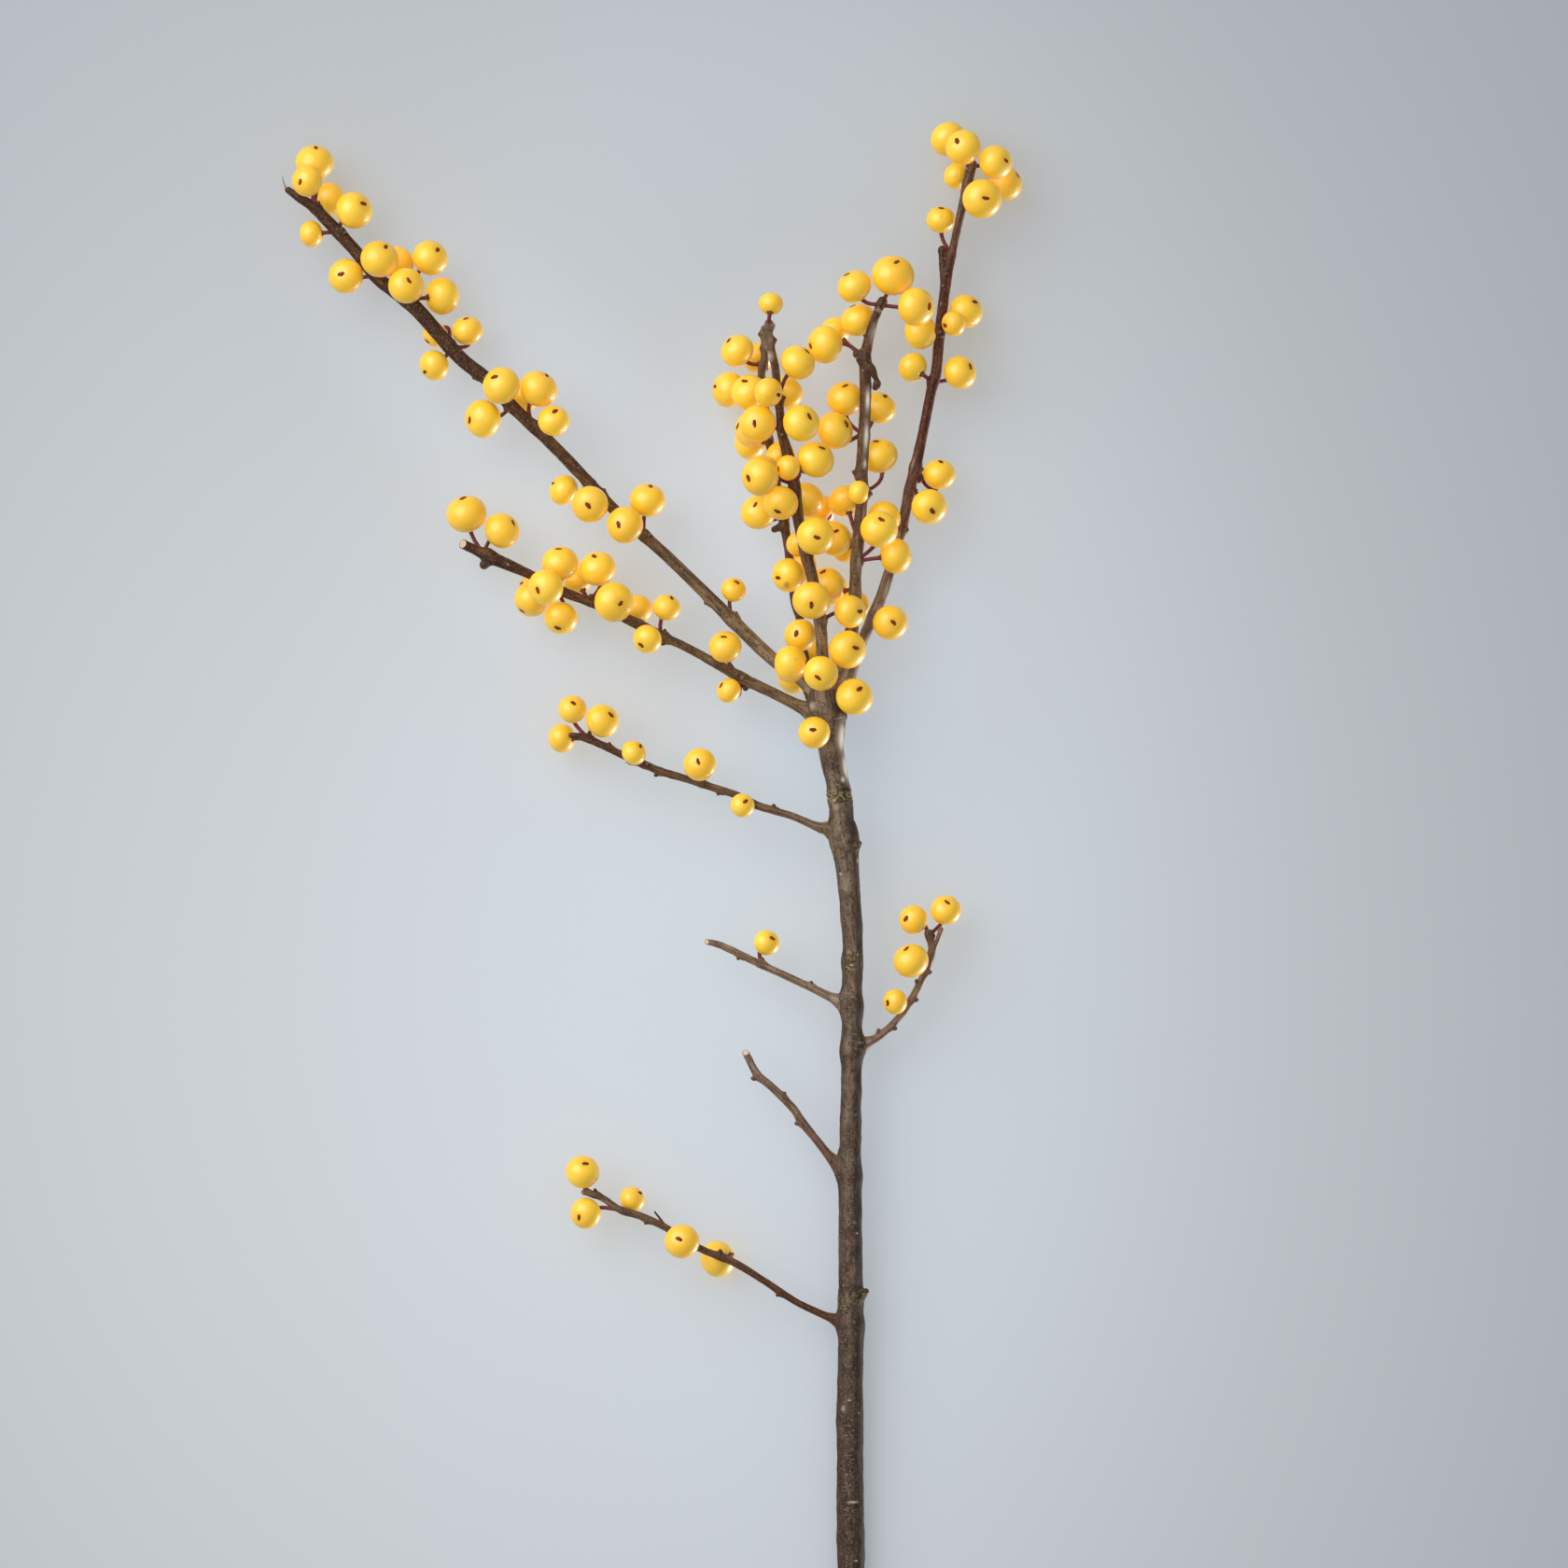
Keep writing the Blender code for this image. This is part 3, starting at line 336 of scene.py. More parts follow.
# Axils: x and y, then each berry's x, y, height over its root and width, and where its scar
# end turns as seen from above, across and up.
AXILS = {
    "main_stem": [
        (-4.6, 177.6, (-7.5, 179, 6, 6.8, -0.1, 0.2)),
        (-4, 182.6, (1.1, 186.6, 6, 8, 0.3, 0.5)),
    ],
    "spray_left_upper": [
        (-25, 203.2, (-24.8, 209.6, 0, 5.4, 0.3, 0.7)),
        (-44, 221.2, (-43.2, 228.8, 0, 7.6, 0.2, 0.9), (-48, 223.4, 5.5, 7.8, -0.4, 0)),
        (-55.6, 232.2, (-61.2, 231, -2, 6.6, -0.8, 0.5), (-55.4, 227.9, 4, 7.8, -0.1, -0.1)),
        (-67.6, 244.4, (-66.6, 252.3, 1, 8.2, 0.5, 0.8), (-63.4, 245.8, 3, 6.8, 0.1, 0.7)),
        (-72.6, 249.2, (-74.5, 253.2, 5, 8, -0.4, 0.5), (-69.6, 251.2, -4, 6.8),
         (-78.5, 246.2, 0, 8.2, -0.8, -0.1)),
        (-85.8, 261.8, (-88.8, 264.4, -4.5, 5.6, -0.7, -0.6), (-82.2, 264.8, -1, 6.6, -0.1, 0.9),
         (-88.6, 257.9, 0, 6.6, -0.7, -0.5)),
        (-94.6, 271.4, (-90.1, 280.6, 1, 7.6, 0.5, 0.5), (-94.8, 274.6, 6, 7.6, 0.2, 0.3),
         (-87.4, 272.5, -1, 8)),
        (-101.8, 276.8, (-107.4, 277.1, 1.5, 7.4, -0.3, 0.1), (-100.5, 280.3, 5.5, 8.2, 0.4, 0.7),
         (-96.4, 279.8, -1, 7.2)),
        (-109.4, 286, (-106.1, 290.9, 1, 8, 0.6, 0.4), (-115, 286.2, 0, 5.6)),
        (-114.6, 291.4, (-114.7, 301.1, -1, 8.2, 0.1, 0.9), (-116, 297.1, 4.5, 6.6, -0.5, -0.1),
         (-111.6, 293.6, ON_SURFACE, 7.2)),
    ],
    "spray_left_lower": [
        (-23.8, 191.2, (-26.7, 197, 2, 7, -0.1, 0.7), (-25.6, 188.3, 1.5, 5.4, -0.7, 0.5)),
        (-40, 199.8, (-39.1, 205.8, 0, 6, 0.4, 0.8)),
        (-45, 202.2, (-45.6, 205.4, -5, 6.8), (-43.2, 199.1, 3.5, 6.2, -0.5, -0.5)),
        (-55.6, 207, (-54.2, 214, 0, 7.8, -0.2, 0.8), (-58, 211.6, -4, 6),
         (-50.4, 206.9, 5.5, 8.4, 0.4, -0.1)),
        (-63.6, 210.4, (-62.1, 214.9, 1, 7.8, -0.1, 0.9), (-65, 210, 7, 7.6, -0.5, -0.2),
         (-68, 209.6, -6, 6.8, -0.8, 0.5), (-67.8, 207.2, 0.5, 7.2, -0.6, -0.7),
         (-62.2, 203.8, 0, 7.2, -0.2, -0.7)),
        (-78.2, 217.3, (-81.8, 225.8, 0, 8.6, -0.2, 0.9), (-74.6, 222.4, 0, 7.8, 0.7, 0.5)),
    ],
    "spray_centre_front": [
        (-5.6, 193.8, (-11.8, 193.9, 3, 7.8), (-6.3, 192.2, 5.5, 7.4, -0.2, -0.3)),
        (-6.3, 203, (0.1, 204.2, 1.5, 7, 0.7, 0)),
        (-6.9, 206.4, (-8.1, 207.2, 5.2, 8, 0, -0.3), (-5, 210.8, -4.6, 7.6, -0.2, 0.8)),
        (-9.4, 217.4, (-7.3, 220.9, 5, 8, 0.1, -0.1), (-10.6, 219.2, -4.5, 6)),
        (-11.2, 226.4, (-9.4, 228.8, -4.8, 7.8)),
        (-11.7, 231.6, (-12.8, 235.6, 4.2, 5.4, -0.9, -0.1), (-18.6, 233.2, 7, 8.2, -0.7, -0.1),
         (-18.2, 234.8, -1.5, 7.6), (-14.8, 228.4, 4, 7.4, -0.2, -0.6)),
        (-13.1, 237.8, (-7.4, 238, 0.5, 8, 0.4, 0.7), (-15.2, 237.6, -4.8, 6.8)),
        (-14.5, 243.6, (-19.4, 245.6, 3, 7.8, -0.2, 0), (-10.3, 245, 4, 8, 0.5, 0.4)),
        (-15.1, 250, (-11.8, 258, 1, 7.6, 0.6, 0.7), (-17.6, 250.8, 4, 6.4, 0.8, -0.2),
         (-13.6, 251.8, -4.8, 7.2)),
        (-17.3, 265.6, (-16.8, 270.6, 0, 5.2)),
    ],
    "spray_centre_back": [
        (-9.5, 194.8, (-11.6, 191.4, -4, 7.4, -0.9, 0), (-8, 196.8, -4.2, 6.8, 0.1, 0.9)),
        (-10.4, 201.4, (-9.6, 199.4, 4.4, 6.8, -0.3, 0.1)),
        (-12.8, 215.2, (-13, 213, 5.5, 7.2, -0.7, -0.2), (-10.8, 214.8, -4, 7)),
        (-14.2, 225.4, (-19.5, 226.2, 2, 7.4, -0.2, 0.5), (-6.4, 226.6, -1, 7.2, 0.7, -0.4)),
        (-17.2, 242, (-21, 244, 5.5, 7.6, -0.9, 0.2), (-21.2, 241.2, -3, 7.2)),
        (-18.3, 250.4, (-25.8, 252.6, -2, 7.6, -0.9, 0.2), (-21.4, 251.8, 4.2, 7.8, -0.3, 0.7)),
        (-18.4, 257.8, (-23.8, 260.8, 0, 7.2, -0.6, 0.7), (-19.6, 259.6, -4.4, 6.8)),
    ],
    "spray_centre_right": [
        (0.5, 200.8, (-0.8, 197, 5.5, 8, 0.5, 0.1), (1.6, 206.4, -4.6, 6.4)),
        (1.2, 209, (-3, 209.6, -8, 6.8)),
        (1.5, 215.4, (6.5, 222.4, 5, 8, 0.1, 0.6), (9.8, 216.9, 0, 7.6)),
        (1.8, 219.6, (-0.9, 228.6, -3.5, 7.2), (-2.8, 220.4, -1.5, 7.4, 0.1, 0.5), (-1, 219, -8, 6.8),
         (8, 224.8, -2.5, 7.2)),
        (2.8, 230.4, (6.3, 238.3, -4, 8, -0.2, 0.9), (2, 230.3, 4, 5)),
        (3, 242.4, (-3.6, 243, 1, 8, 0.7, 0.4), (-0.1, 250, -3.6, 7.8, 0, 0.8),
         (5.6, 248.8, -5, 7.2, 0.4, 0.8)),
        (2.8, 259, (-5.2, 262, 0, 8, -0.9, -0.1), (-2.2, 265.2, -6, 6.8), (2, 266.6, -3, 7.6, -0.4, 0.9)),
        (6.8, 270.8, (1, 274.4, 0, 7.4, -0.5, 0.8), (9.3, 276.8, 0, 9, 0.2, 0.7),
         (14.3, 269.7, 2.5, 8.2, 0.8, 0)),
    ],
    "spray_right": [
        (5.4, 204.6, (8.6, 202.6, 3, 7.4, 0.2, 0)),
        (12.9, 231.2, (16.9, 227.4, 2, 7.6, 0.2, -0.3)),
        (14.2, 235.6, (18.8, 234.3, -1, 7, 0.1, 0.9)),
        (18, 254.4, (13.6, 257.3, 0, 6.4), (23.7, 256.2, 0, 7.2, 0.7, 0.4)),
        (19.4, 264.6, (25, 269.4, -1.6, 7.4, 0.6, 0.6), (22.3, 266.6, 3.6, 5.4, -0.8, -0.2),
         (15.4, 265, 3.5, 7.6)),
        (20, 281.6, (20.6, 288.7, -1, 6.2, 0, 0.9)),
        (25.3, 296.4, (33.6, 297, ON_SURFACE, 7.4, 0.8, 0.5), (28.4, 293.2, 5.5, 8.4, 0.2, 0),
         (23.2, 298.5, -4, 6)),
        (26.3, 300.4, (21.2, 306.3, -2.5, 7.6), (24.3, 304.2, 4.5, 7.6, -0.4, 0.4),
         (31.3, 301.1, 2, 7.4, 0.7, 0.1)),
    ],
    "twig_left_1": [
        (-21, 163.8, (-22.9, 163.4, 3.4, 5.2, 0.3, 0.4)),
        (-31.6, 168, (-32.1, 172.1, 2.5, 7, -0.1, 0.2)),
        (-44.2, 172.2, (-46.1, 174.7, 3.5, 5.4, 0.6, 0.6)),
        (-56, 177.7, (-59.3, 184, 1, 6, 0.1, 0.5), (-53, 181.4, 0.5, 7.2, 0.6, 0.4),
         (-61.6, 177.8, -3.5, 6.2)),
    ],
    "twig_left_2": [
        (-18.9, 129.3, (-17.7, 134, 0, 5.6, 0.5, 0.4)),
    ],
    "twig_left_4": [
        (-27, 66.6, (-28.2, 66, -4.8, 7.8)),
        (-34, 69.6, (-35.8, 70.1, 4.5, 7.4, -0.2, 0.2)),
        (-48.2, 76.6, (-56.5, 76, 0, 6.6, -0.5, -0.3), (-46.6, 78.6, -2, 5.6, 0.7, 0.6)),
        (-54.6, 79.8, (-57.1, 84.4, 1, 7.2, 0.2, 0.6)),
    ],
    "twig_right_1": [
        (12.4, 120.6, (9.9, 121.3, 2.4, 5.4, -0.7, -0.1)),
        (17.2, 130.8, (13.3, 130.1, 2.8, 7.6, -0.3, 0.8)),
        (16.9, 135.8, (14.4, 138.5, 0, 6.2, -0.6, 0.1)),
        (19.4, 136.4, (20.4, 140.5, 0, 6.6, 0.1, 0.6)),
    ],
}

# Buds and knobs between the axils, each by the place of its tip: x, y and length.
EXTRA_BUDS = {
    "main_stem": [(4.2, 58.9, 2.2), (2.6, 154.9, 1.7), (-0.6, 182.4, 1.3)],
    "spray_left_upper": [(-30.6, 206.8, 1), (-52.6, 230.6, 1), (-80, 255, 1)],
    "spray_left_lower": [(-39.8, 197.6, 1.3), (-50.6, 206, 1)],
    "spray_centre_right": [(0.9, 234.6, 1.3), (4.9, 229.9, 1.4), (1.4, 260.4, 1.4), (0.6, 200.9, 1.2)],
    "spray_right": [(19.4, 281.6, 1.3), (12, 222.4, 1)],
    "twig_left_1": [(-41.4, 169.6, 1.2), (-16, 163.6, 1), (-28, 165.9, 1), (-51.4, 176.4, 1)],
    "twig_left_2": [(-8.2, 125.4, 1), (-23.9, 130.6, 1)],
    "twig_left_3": [(-20.4, 104.8, 1.4), (-11, 95.1, 1.2), (-14, 101.4, 1)],
    "twig_left_4": [(-27.4, 68.3, 1.2), (-15.4, 58.2, 1), (-43.4, 74, 1)],
    "twig_right_1": [
        (6.2, 115, 1.2), (9.6, 115.8, 1.2), (11.2, 119.9, 1.1), (14.4, 121.4, 1.2), (14.6, 125.4, 1.1),
        (17.4, 127.6, 1.2),
    ],
}

CUT_TIPS = ("spray_left_lower", "twig_left_2", "twig_left_3")

# Each bark's colour: how fair it is and how far from brown to dark red, and then its cast at
# the foot, two thirds of the way out and at the tip: 1 is grey-olive, -1 is nearly black.
BARK = {
    "main_stem": (0.3, 0, 0, 0, 0),
    "spray_left_upper": (0.1, 0.05, 1, -0.7, -0.4),
    "spray_left_lower": (0.1, 0.1, 0.4, 0, -0.7),
    "spray_centre_front": (0.14, 0.2, 1, -0.5, 0.5),
    "spray_centre_back": (0.18, 0.1, -0.3, -0.2, 0.5),
    "spray_centre_right": (0.2, 0.1, 0.5, 0, -0.6),
    "spray_right": (0.04, 1, 1, -0.3, 0.4),
    "twig_left_1": (0.2, 0.4, 0.6, 0.1, -0.2),
    "twig_left_2": (1, 0.2, 0.6, 0.5, 0.3),
    "twig_left_3": (0.85, 0.7, -0.4, 0.5, 0.1),
    "twig_left_4": (0.1, 0.6, 0, 0.2, 0.5),
    "twig_right_1": (1, 0.5, 0.2, 0.3, -0.6),
}
CAST_PLACES = (0, 0.67, 1)

# Stubs and prongs as they are seen close up, each in place of a spur above.
FINE_SPURS = {
    ("spray_left_lower", 0): [(-76.6, 216.5, 10, 2), (-77.6, 215.6, 10, 2.1), (-78.2, 215, 10, 1.9)],
    ("spray_left_lower", 1): [(-22.8, 190.6, 10.2, 1.8), (-22.3, 188.6, 10.2, 1.3)],
    ("spray_centre_right", 0): [
        (3.8, 257.8, 15.6, 1.8), (4.7, 256.8, 16.2, 1.9), (5.3, 255.6, 16.3, 1.3), (5.8, 254.3, 16.1, 1.2),
        (5.9, 253.5, 15.9, 1.9), (5.6, 252.9, 15.8, 1.4),
    ],
    ("spray_centre_right", 1): [(3.4, 258.4, 15.6, 2), (2.4, 259.3, 15.7, 1.4), (1.7, 259.9, 15.7, 1.9)],
    ("spray_right", 0): [
        (20.6, 275.2, 9.5, 1.7), (20.1, 278.4, 9.3, 1.7), (19.9, 281, 9, 1.5), (19.9, 282.3, 9, 2),
    ],
    ("twig_left_4", 0): [(-39.5, 72.9, 9.4, 0.9), (-40.3, 74.4, 9.6, 0.5), (-41.7, 76.3, 9.8, 0.3)],
    ("twig_right_1", 0): [(17.4, 131.4, 9.6, 1.2), (18.7, 134.2, 9.7, 0.9), (19.6, 136.8, 9.8, 1.1)],
}
# A dry thread at the very tip of the left upper branch, and its widths at both ends.
WISP = [(-120, 295, 9.4), (-120.9, 296, 9.5), (-121.3, 297.2, 9.7), (-121.5, 298.4, 10)]
WISP_RADII = (0.25, 0.06)

# Old nodes and scars on the stem, and a pale strip down its right side below the fork, partly
# pale bark and partly painted highlight: x from its middle, y, length, width, height, then how
# pale, how dark and how cracked, nil where left out. A mark without an x goes right round.
STEM_MARKS = [
    (None, 57.4, 1.6, None, 0.2, 0, 0.1, 0.5), (None, 60.2, 0.3, None, -0.1, 0, 0.5),
    (2.2, 58.6, 1, 1.2, 0.9, 0.3, 0.3, 1), (-1, 56, 1, 1.6, 0.1, 0, 0, 0.9),
    (-2.4, 86, 2.4, 2, 0.35, 0, 0.1, 0.7), (1.8, 112.4, 2, 1.4, 0.3, 0, 0.5, 0.8),
    (-2, 122, 1.8, 1.6, 0.25, 0.3, 0, 0.5), (None, 130, 2, None, 0.12, 0, 0, 0.3),
    (-0.4, 131.6, 1.2, 1.6, 0.2, 0.2, 0, 1), (0.1, 130.1, 0.4, 0.7, -0.16, 0, 1),
    (-0.5, 128.7, 0.9, 1.3, 0.16, 0.3, 0, 1), (-0.2, 129.3, 0.25, 0.4, 0.05, 0.9),
    (None, 165.8, 2.2, None, 0.16, 0, 0, 0.9), (1.2, 166.8, 0.45, 1.6, -0.18, 0, 1),
    # the two long marks at x 2.3 are the pale strip: partly pale bark, partly painted highlight
    (0.4, 164.4, 0.4, 1.8, -0.14, 0, 1), (2.3, 171.8, 4, 1.8, 0, 1), (2.3, 178, 4.8, 1.7, 0, 1),
    (1.3, 169.3, 0.9, 0.7, 0.12, 1), (-0.9, 163.2, 0.9, 1, 0.15, 0.6, 0.2, 0.5),
    (-2.3, 154.6, 3.4, 1.8, 0.95, 0, 0.1, 0.6), (1.9, 154.4, 1.2, 1.1, 0.4, 0.1, 0.4, 0.9),
    (2.2, 151.6, 0.8, 0.6, 0.1, 0.8), (-2.3, 184.8, 1.2, 1.2, 0.35, 0.7), (0.6, 14.2, 0.35, 1.6, 0.1, 0.9),
    (1.4, 13.2, 0.6, 0.9, -0.05, 0, 0.9, 0.2), (-1.5, 34, 0.9, 0.7, 0.12, 0.7, 0, 0.3),
    (1, 98, 0.6, 0.8, 0.1, 0, 0.7, 0.4), (-0.8, 146, 1.1, 0.9, 0.12, 0.5, 0, 0.5),
    (0.9, 74, 0.7, 0.7, 0.1, 0.5, 0.3, 0.3),
]

# Pale pores, dry rings and dark patches of the branches, and long pale strips down the right
# sides of the centre right and the right branch that are painted highlight: x, y, length and
# width, then how pale, how dark and how cracked, nil where left out.
BRANCH_MARKS = {
    "spray_centre_right": [
        (1.6, 221, 0.35, 0.3, 0.7), (3.2, 222.4, 0.3, 0.3, 0.7), (0.4, 220, 0.3, 0.25, 0.7),
        (1.1, 212.8, 0.3, 0.3, 0.7), (7, 268.9, 0.5, 2.5, 0.8), (2.8, 256.4, 0.5, 0.4, 0.6),
        # the long pale marks of this row and the two below are painted highlight down the right side
        (4, 250, 3.4, 0.8, 1), (3.65, 242.4, 4.4, 0.75, 1), (3.3, 236.4, 1.6, 0.6, 0.9),
        (5.3, 264.6, 3.5, 1.2, 0.76), (3.2, 234.6, 0.8, 0.9, 0, 0, 0.8),
        (2.4, 254.6, 1.2, 0.8, 0.3, 0, 0.3), (2, 215.6, 4, 0.5, 0.6), (3, 225.6, 4, 0.5, 0.6),
        (4.4, 257, 0.7, 0.7, 0, 0.9, 0.4),
    ],
    "spray_right": [
        (20, 275, 0.3, 0.3, 0.7), (19.6, 271, 0.3, 0.3, 0.7), (10.6, 221, 1.4, 0.5, 0.6),
        # the pale marks three and more millimetres long, here and below, are painted highlight down the lower
        # right side
        (15.4, 237.6, 2.6, 0.6, 0, 1), (13.6, 236.4, 2.4, 0.6, 0.45, 0, 0.4), (9.7, 215.6, 3.4, 0.55, 0.6),
        (8, 209.8, 3.4, 0.6, 0.72), (5.9, 204.2, 3.4, 0.65, 0.78), (3.4, 198.2, 3.6, 0.65, 0.78),
        (1.2, 192, 3.6, 0.65, 0.7),
    ],
    "spray_left_upper": [
        (-36, 214, 0.5, 0.3, 0.6), (-58, 235.6, 0.5, 0.3, 0.6), (-20, 198.4, 0.6, 0.4, 0.6),
        (-28, 205.4, 0.8, 0.5, 0, 0.8, 0.3),
    ],
    "spray_left_lower": [(-73, 214.9, 0.5, 0.4, 0.6), (-30, 194.8, 0.5, 0.3, 0.6)],
    "twig_left_2": [(-3.4, 122, 1.6, 0.9, 0.6)],
    "twig_left_3": [(-20.6, 107.4, 2, 0.6, 0.6)],
    "twig_right_1": [(4.2, 112.8, 1, 0.6, 0.6)],
}

# Rounded dead lumps at the tips: x, y, size and height, then how pale and how dark.
KNOBS = {
    "spray_centre_front": [
        (-15.9, 262.9, 0.75, 0.85, 0, 0.9), (-18, 261.2, 0.6, 0.35, 0.8, 0),
        (-16.6, 266, 0.7, 0.55, 0.75, 0), (-18.3, 264.9, 0.6, 0.45, 0, 0.9),
        (-17.2, 259.6, 1.4, 0, 0.75, 0),
    ],
    "spray_centre_back": [
        (-19, 264.6, 0.8, 0.65, 0, 0.8), (-17.5, 265, 0.7, 0.55, 0.7, 0), (-18.9, 261.6, 0.6, 0.35, 0, 0.8),
        (-17.8, 262, 0.5, 0.3, 0.2, 0.4),
    ],
    "spray_centre_right": [
        (2, 258.6, 0.8, 0.4, 0.2, 0.5), (4.6, 257, 0.6, 0.3, 0.4, 0.2), (0.9, 200.6, 0.6, 0.2, 0, 0.5),
    ],
    "twig_left_1": [(-4.5, 157.1, 1.5, 0.6, 0, 0), (-6.6, 157.9, 1.4, 0.25, 0, 0)],
    "spray_left_lower": [(-76.8, 215.6, 0.9, 0.3, 0, 0.7), (-76.4, 217.8, 0.8, 0.3, 0.2, 0.4)],
}

# Brown marks on the fruit: x, y, radius and strength.
BLEMISHES = [
    (-13.4, 210.6, 0.75, 0.9), (22.8, 298.4, 0.6, 0.45), (19.6, 289.4, 0.6, 0.45), (8.4, 240.4, 0.5, 0.4),
    (-3.8, 225.4, 0.5, 0.4), (-11.4, 194.6, 0.45, 0.5), (-17.6, 250.4, 0.6, 0.35), (-50, 208.6, 0.4, 0.4),
]


def smooth_walk(route, step=WALK_STEP):
    """Places along a smooth curve through the route's points, a step or so apart."""
    ends = [route[0], *route, route[-1]]
    walk = []
    for before, start, stop, after in zip(ends, ends[1:], ends[2:], ends[3:]):
        count = max(1, round(math.dist(start[:3], stop[:3]) / step))
        for i in range(count):
            t = i / count
            walk.append(tuple(
                0.5 * (
                    2 * b + (c - a) * t + (2 * a - 5 * b + 4 * c - d) * t ** 2
                    + (3 * b - a - 3 * c + d) * t ** 3
                )
                for a, b, c, d in zip(before, start, stop, after)
            ))
    walk.append(route[-1])
    return walk


def nearest_place(walk, x, y):
    return min(walk, key=lambda place: math.hypot(place[0] - x, place[1] - y))


class Berry:
    """One fruit: its centre and radius, the wood it grows from and where its scar faces."""

    def __init__(self, node, root, x, y, lift, diameter, *scar):
        self.node = node
        self.root = Vector(root[:3])
        self.wood_width = root[3]
        self.radius = diameter / 2
        self.rests = lift is ON_SURFACE
        self.centre = Vector((x, y, self.radius if self.rests else root[2] + lift))
        self.scar = scar

    def axis(self):
        """From the stalk end to the scar end."""
        if self.scar:
            across, up = self.scar
            return Vector((across, up, math.sqrt(1 - across ** 2 - up ** 2))).normalized()
        outward = self.centre - self.root
        above = outward.z > 0
        outward.z = 0.0
        if outward.length < LEAST_OUTWARD:
            outward.x = -1.0
        outward.normalize()
        outward.z = DROOP_ABOVE if above else DROOP_BELOW
        return outward.normalized()

    def clear(self, place, reach, share=1.0):
        """Move out of contact with a place, more up or down than sideways."""
        away = self.centre - place
        depth = reach - away.length
        away.normalize()
        ease = (SIDEWAYS_EASE, SIDEWAYS_EASE, 0.0 if self.rests else 1.0)
        eased = Vector(a * e for a, e in zip(away, Vector(ease)))
        self.centre += eased * (depth * share / max(eased.dot(away), LEAST_EASE))


def settle(berries, wood):
    """Clear every berry of the others, of all the wood and of the surface below."""
    pairs = []
    for i, one in enumerate(berries):
        for other in berries[i + 1:]:
            reach = one.radius + other.radius + (BERRY_GAP if one.node == other.node else SPRAY_GAP)
            if (one.centre - other.centre).xy.length < reach + PAIR_MARGIN:
                pairs.append((one, other, reach))
    near_wood = []
    for berry in berries:
        for node, walk in wood:
            gap = berry.radius + (WOOD_GAP if node == berry.node else SPRAY_GAP)
            near = [
                (Vector(place[:3]), gap + place[3] / 2)
                for place in walk
                if math.dist(place[:2], berry.centre.xy) < gap + WOOD_MARGIN
            ]
            if near:
                near_wood.append((berry, near))
    for _ in range(SETTLE_ROUNDS):
        for one, other, reach in pairs:
            if (one.centre - other.centre).length < reach:
                place = one.centre.copy()
                one.clear(other.centre, reach, 0.5)
                other.clear(place, reach, 0.5)
        for berry, near in near_wood:
            place, reach = min(near, key=lambda item: (berry.centre - item[0]).length - item[1])
            if (berry.centre - place).length < reach:
                berry.clear(place, reach)
        for berry in berries:
            if not berry.rests:
                berry.centre.z = max(berry.centre.z, berry.radius + SURFACE_GAP)


def place_berries():
    """All the fruit, settled clear of each other, of the wood and of the floor."""
    berries, wood = [], []
    for node, route in ROUTES.items():
        walk = smooth_walk(route)
        for x, y, *rows in AXILS.get(node, ()):
            root = nearest_place(walk, x, y)
            berries += [Berry(node, root, *row) for row in rows]
        wood.append((node, walk))
        wood += [(node, smooth_walk(spur)) for spur in SPURS.get(node, ())]
    settle(berries, wood)
    return berries


def unit(vector):
    return vector / np.linalg.norm(vector)


def turns(count):
    return np.arange(count) * (2 * np.pi / count)


def fade(distance, reach):
    """From 1 at no distance to a third at the reach and soon nothing."""
    return np.exp(-(distance / reach) ** 2)


def ripple(points, pitch, seed, count=9):
    """Smooth random relief between about -1 and 1, its humps about a pitch apart."""
    draw = np.random.default_rng(seed)
    waves = draw.normal(size=(count, 3))
    waves /= np.linalg.norm(waves, axis=1)[:, None]
    waves *= 2 * np.pi / (pitch * draw.uniform(*PITCH_SPREAD, count))[:, None]
    phases = draw.uniform(0, 2 * np.pi, count)
    return np.sin(points @ waves.T + phases).sum(axis=1) * math.sqrt(2 / count) / RIPPLE_PEAK


class Surface:
    """Points and faces gathered for one piece, with its finish's values at every point."""

    NAMES = ("grain", "pale", "dark", "rough", "age", "sun", "fair", "red", "tone", "halo", "spot", "cast")

    def __init__(self):
        self.points, self.faces, self.slots = [], [], []
        self.values = {name: [] for name in self.NAMES}

    def add(self, points, faces, slot=0, **values):
        """Add a closed form. A value is one number for it all or one for each point."""
        count = sum(len(held) for held in self.points)
        self.points.append(points)
        self.faces += [tuple(i + count for i in face) for face in faces]
        self.slots += np.broadcast_to(slot, len(faces)).tolist()
        values.setdefault("grain", points)
        for name, gathered in self.values.items():
            value = values.get(name, 0.0)
            gathered.append(value if np.ndim(value) else np.full(len(points), value))

    def piece(self, name, node, slot, *materials):
        """The finished piece, in place of a node of the solids."""
        points = np.concatenate(self.points)
        points[:, 2] = np.maximum(points[:, 2], 0.0)
        mesh = bpy.data.meshes.new(name)
        mesh.from_pydata(((points - ORIGIN) * MM).tolist(), [], self.faces)
        for material in materials:
            mesh.materials.append(material)
        mesh.polygons.foreach_set("material_index", self.slots)
        for value, gathered in self.values.items():
            data = np.concatenate(gathered).astype(np.float32)
            if data.any():
                kind, field = ("FLOAT_VECTOR", "vector") if data.ndim == 2 else ("FLOAT", "value")
                mesh.attributes.new(value, kind, "POINT").data.foreach_set(field, data.ravel())
        mesh.shade_smooth()
        piece = put(bpy.data.objects.new(name, mesh))
        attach(piece, "root")
        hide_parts(node)


def put(made):
    bpy.context.scene.collection.objects.link(made)
    return made


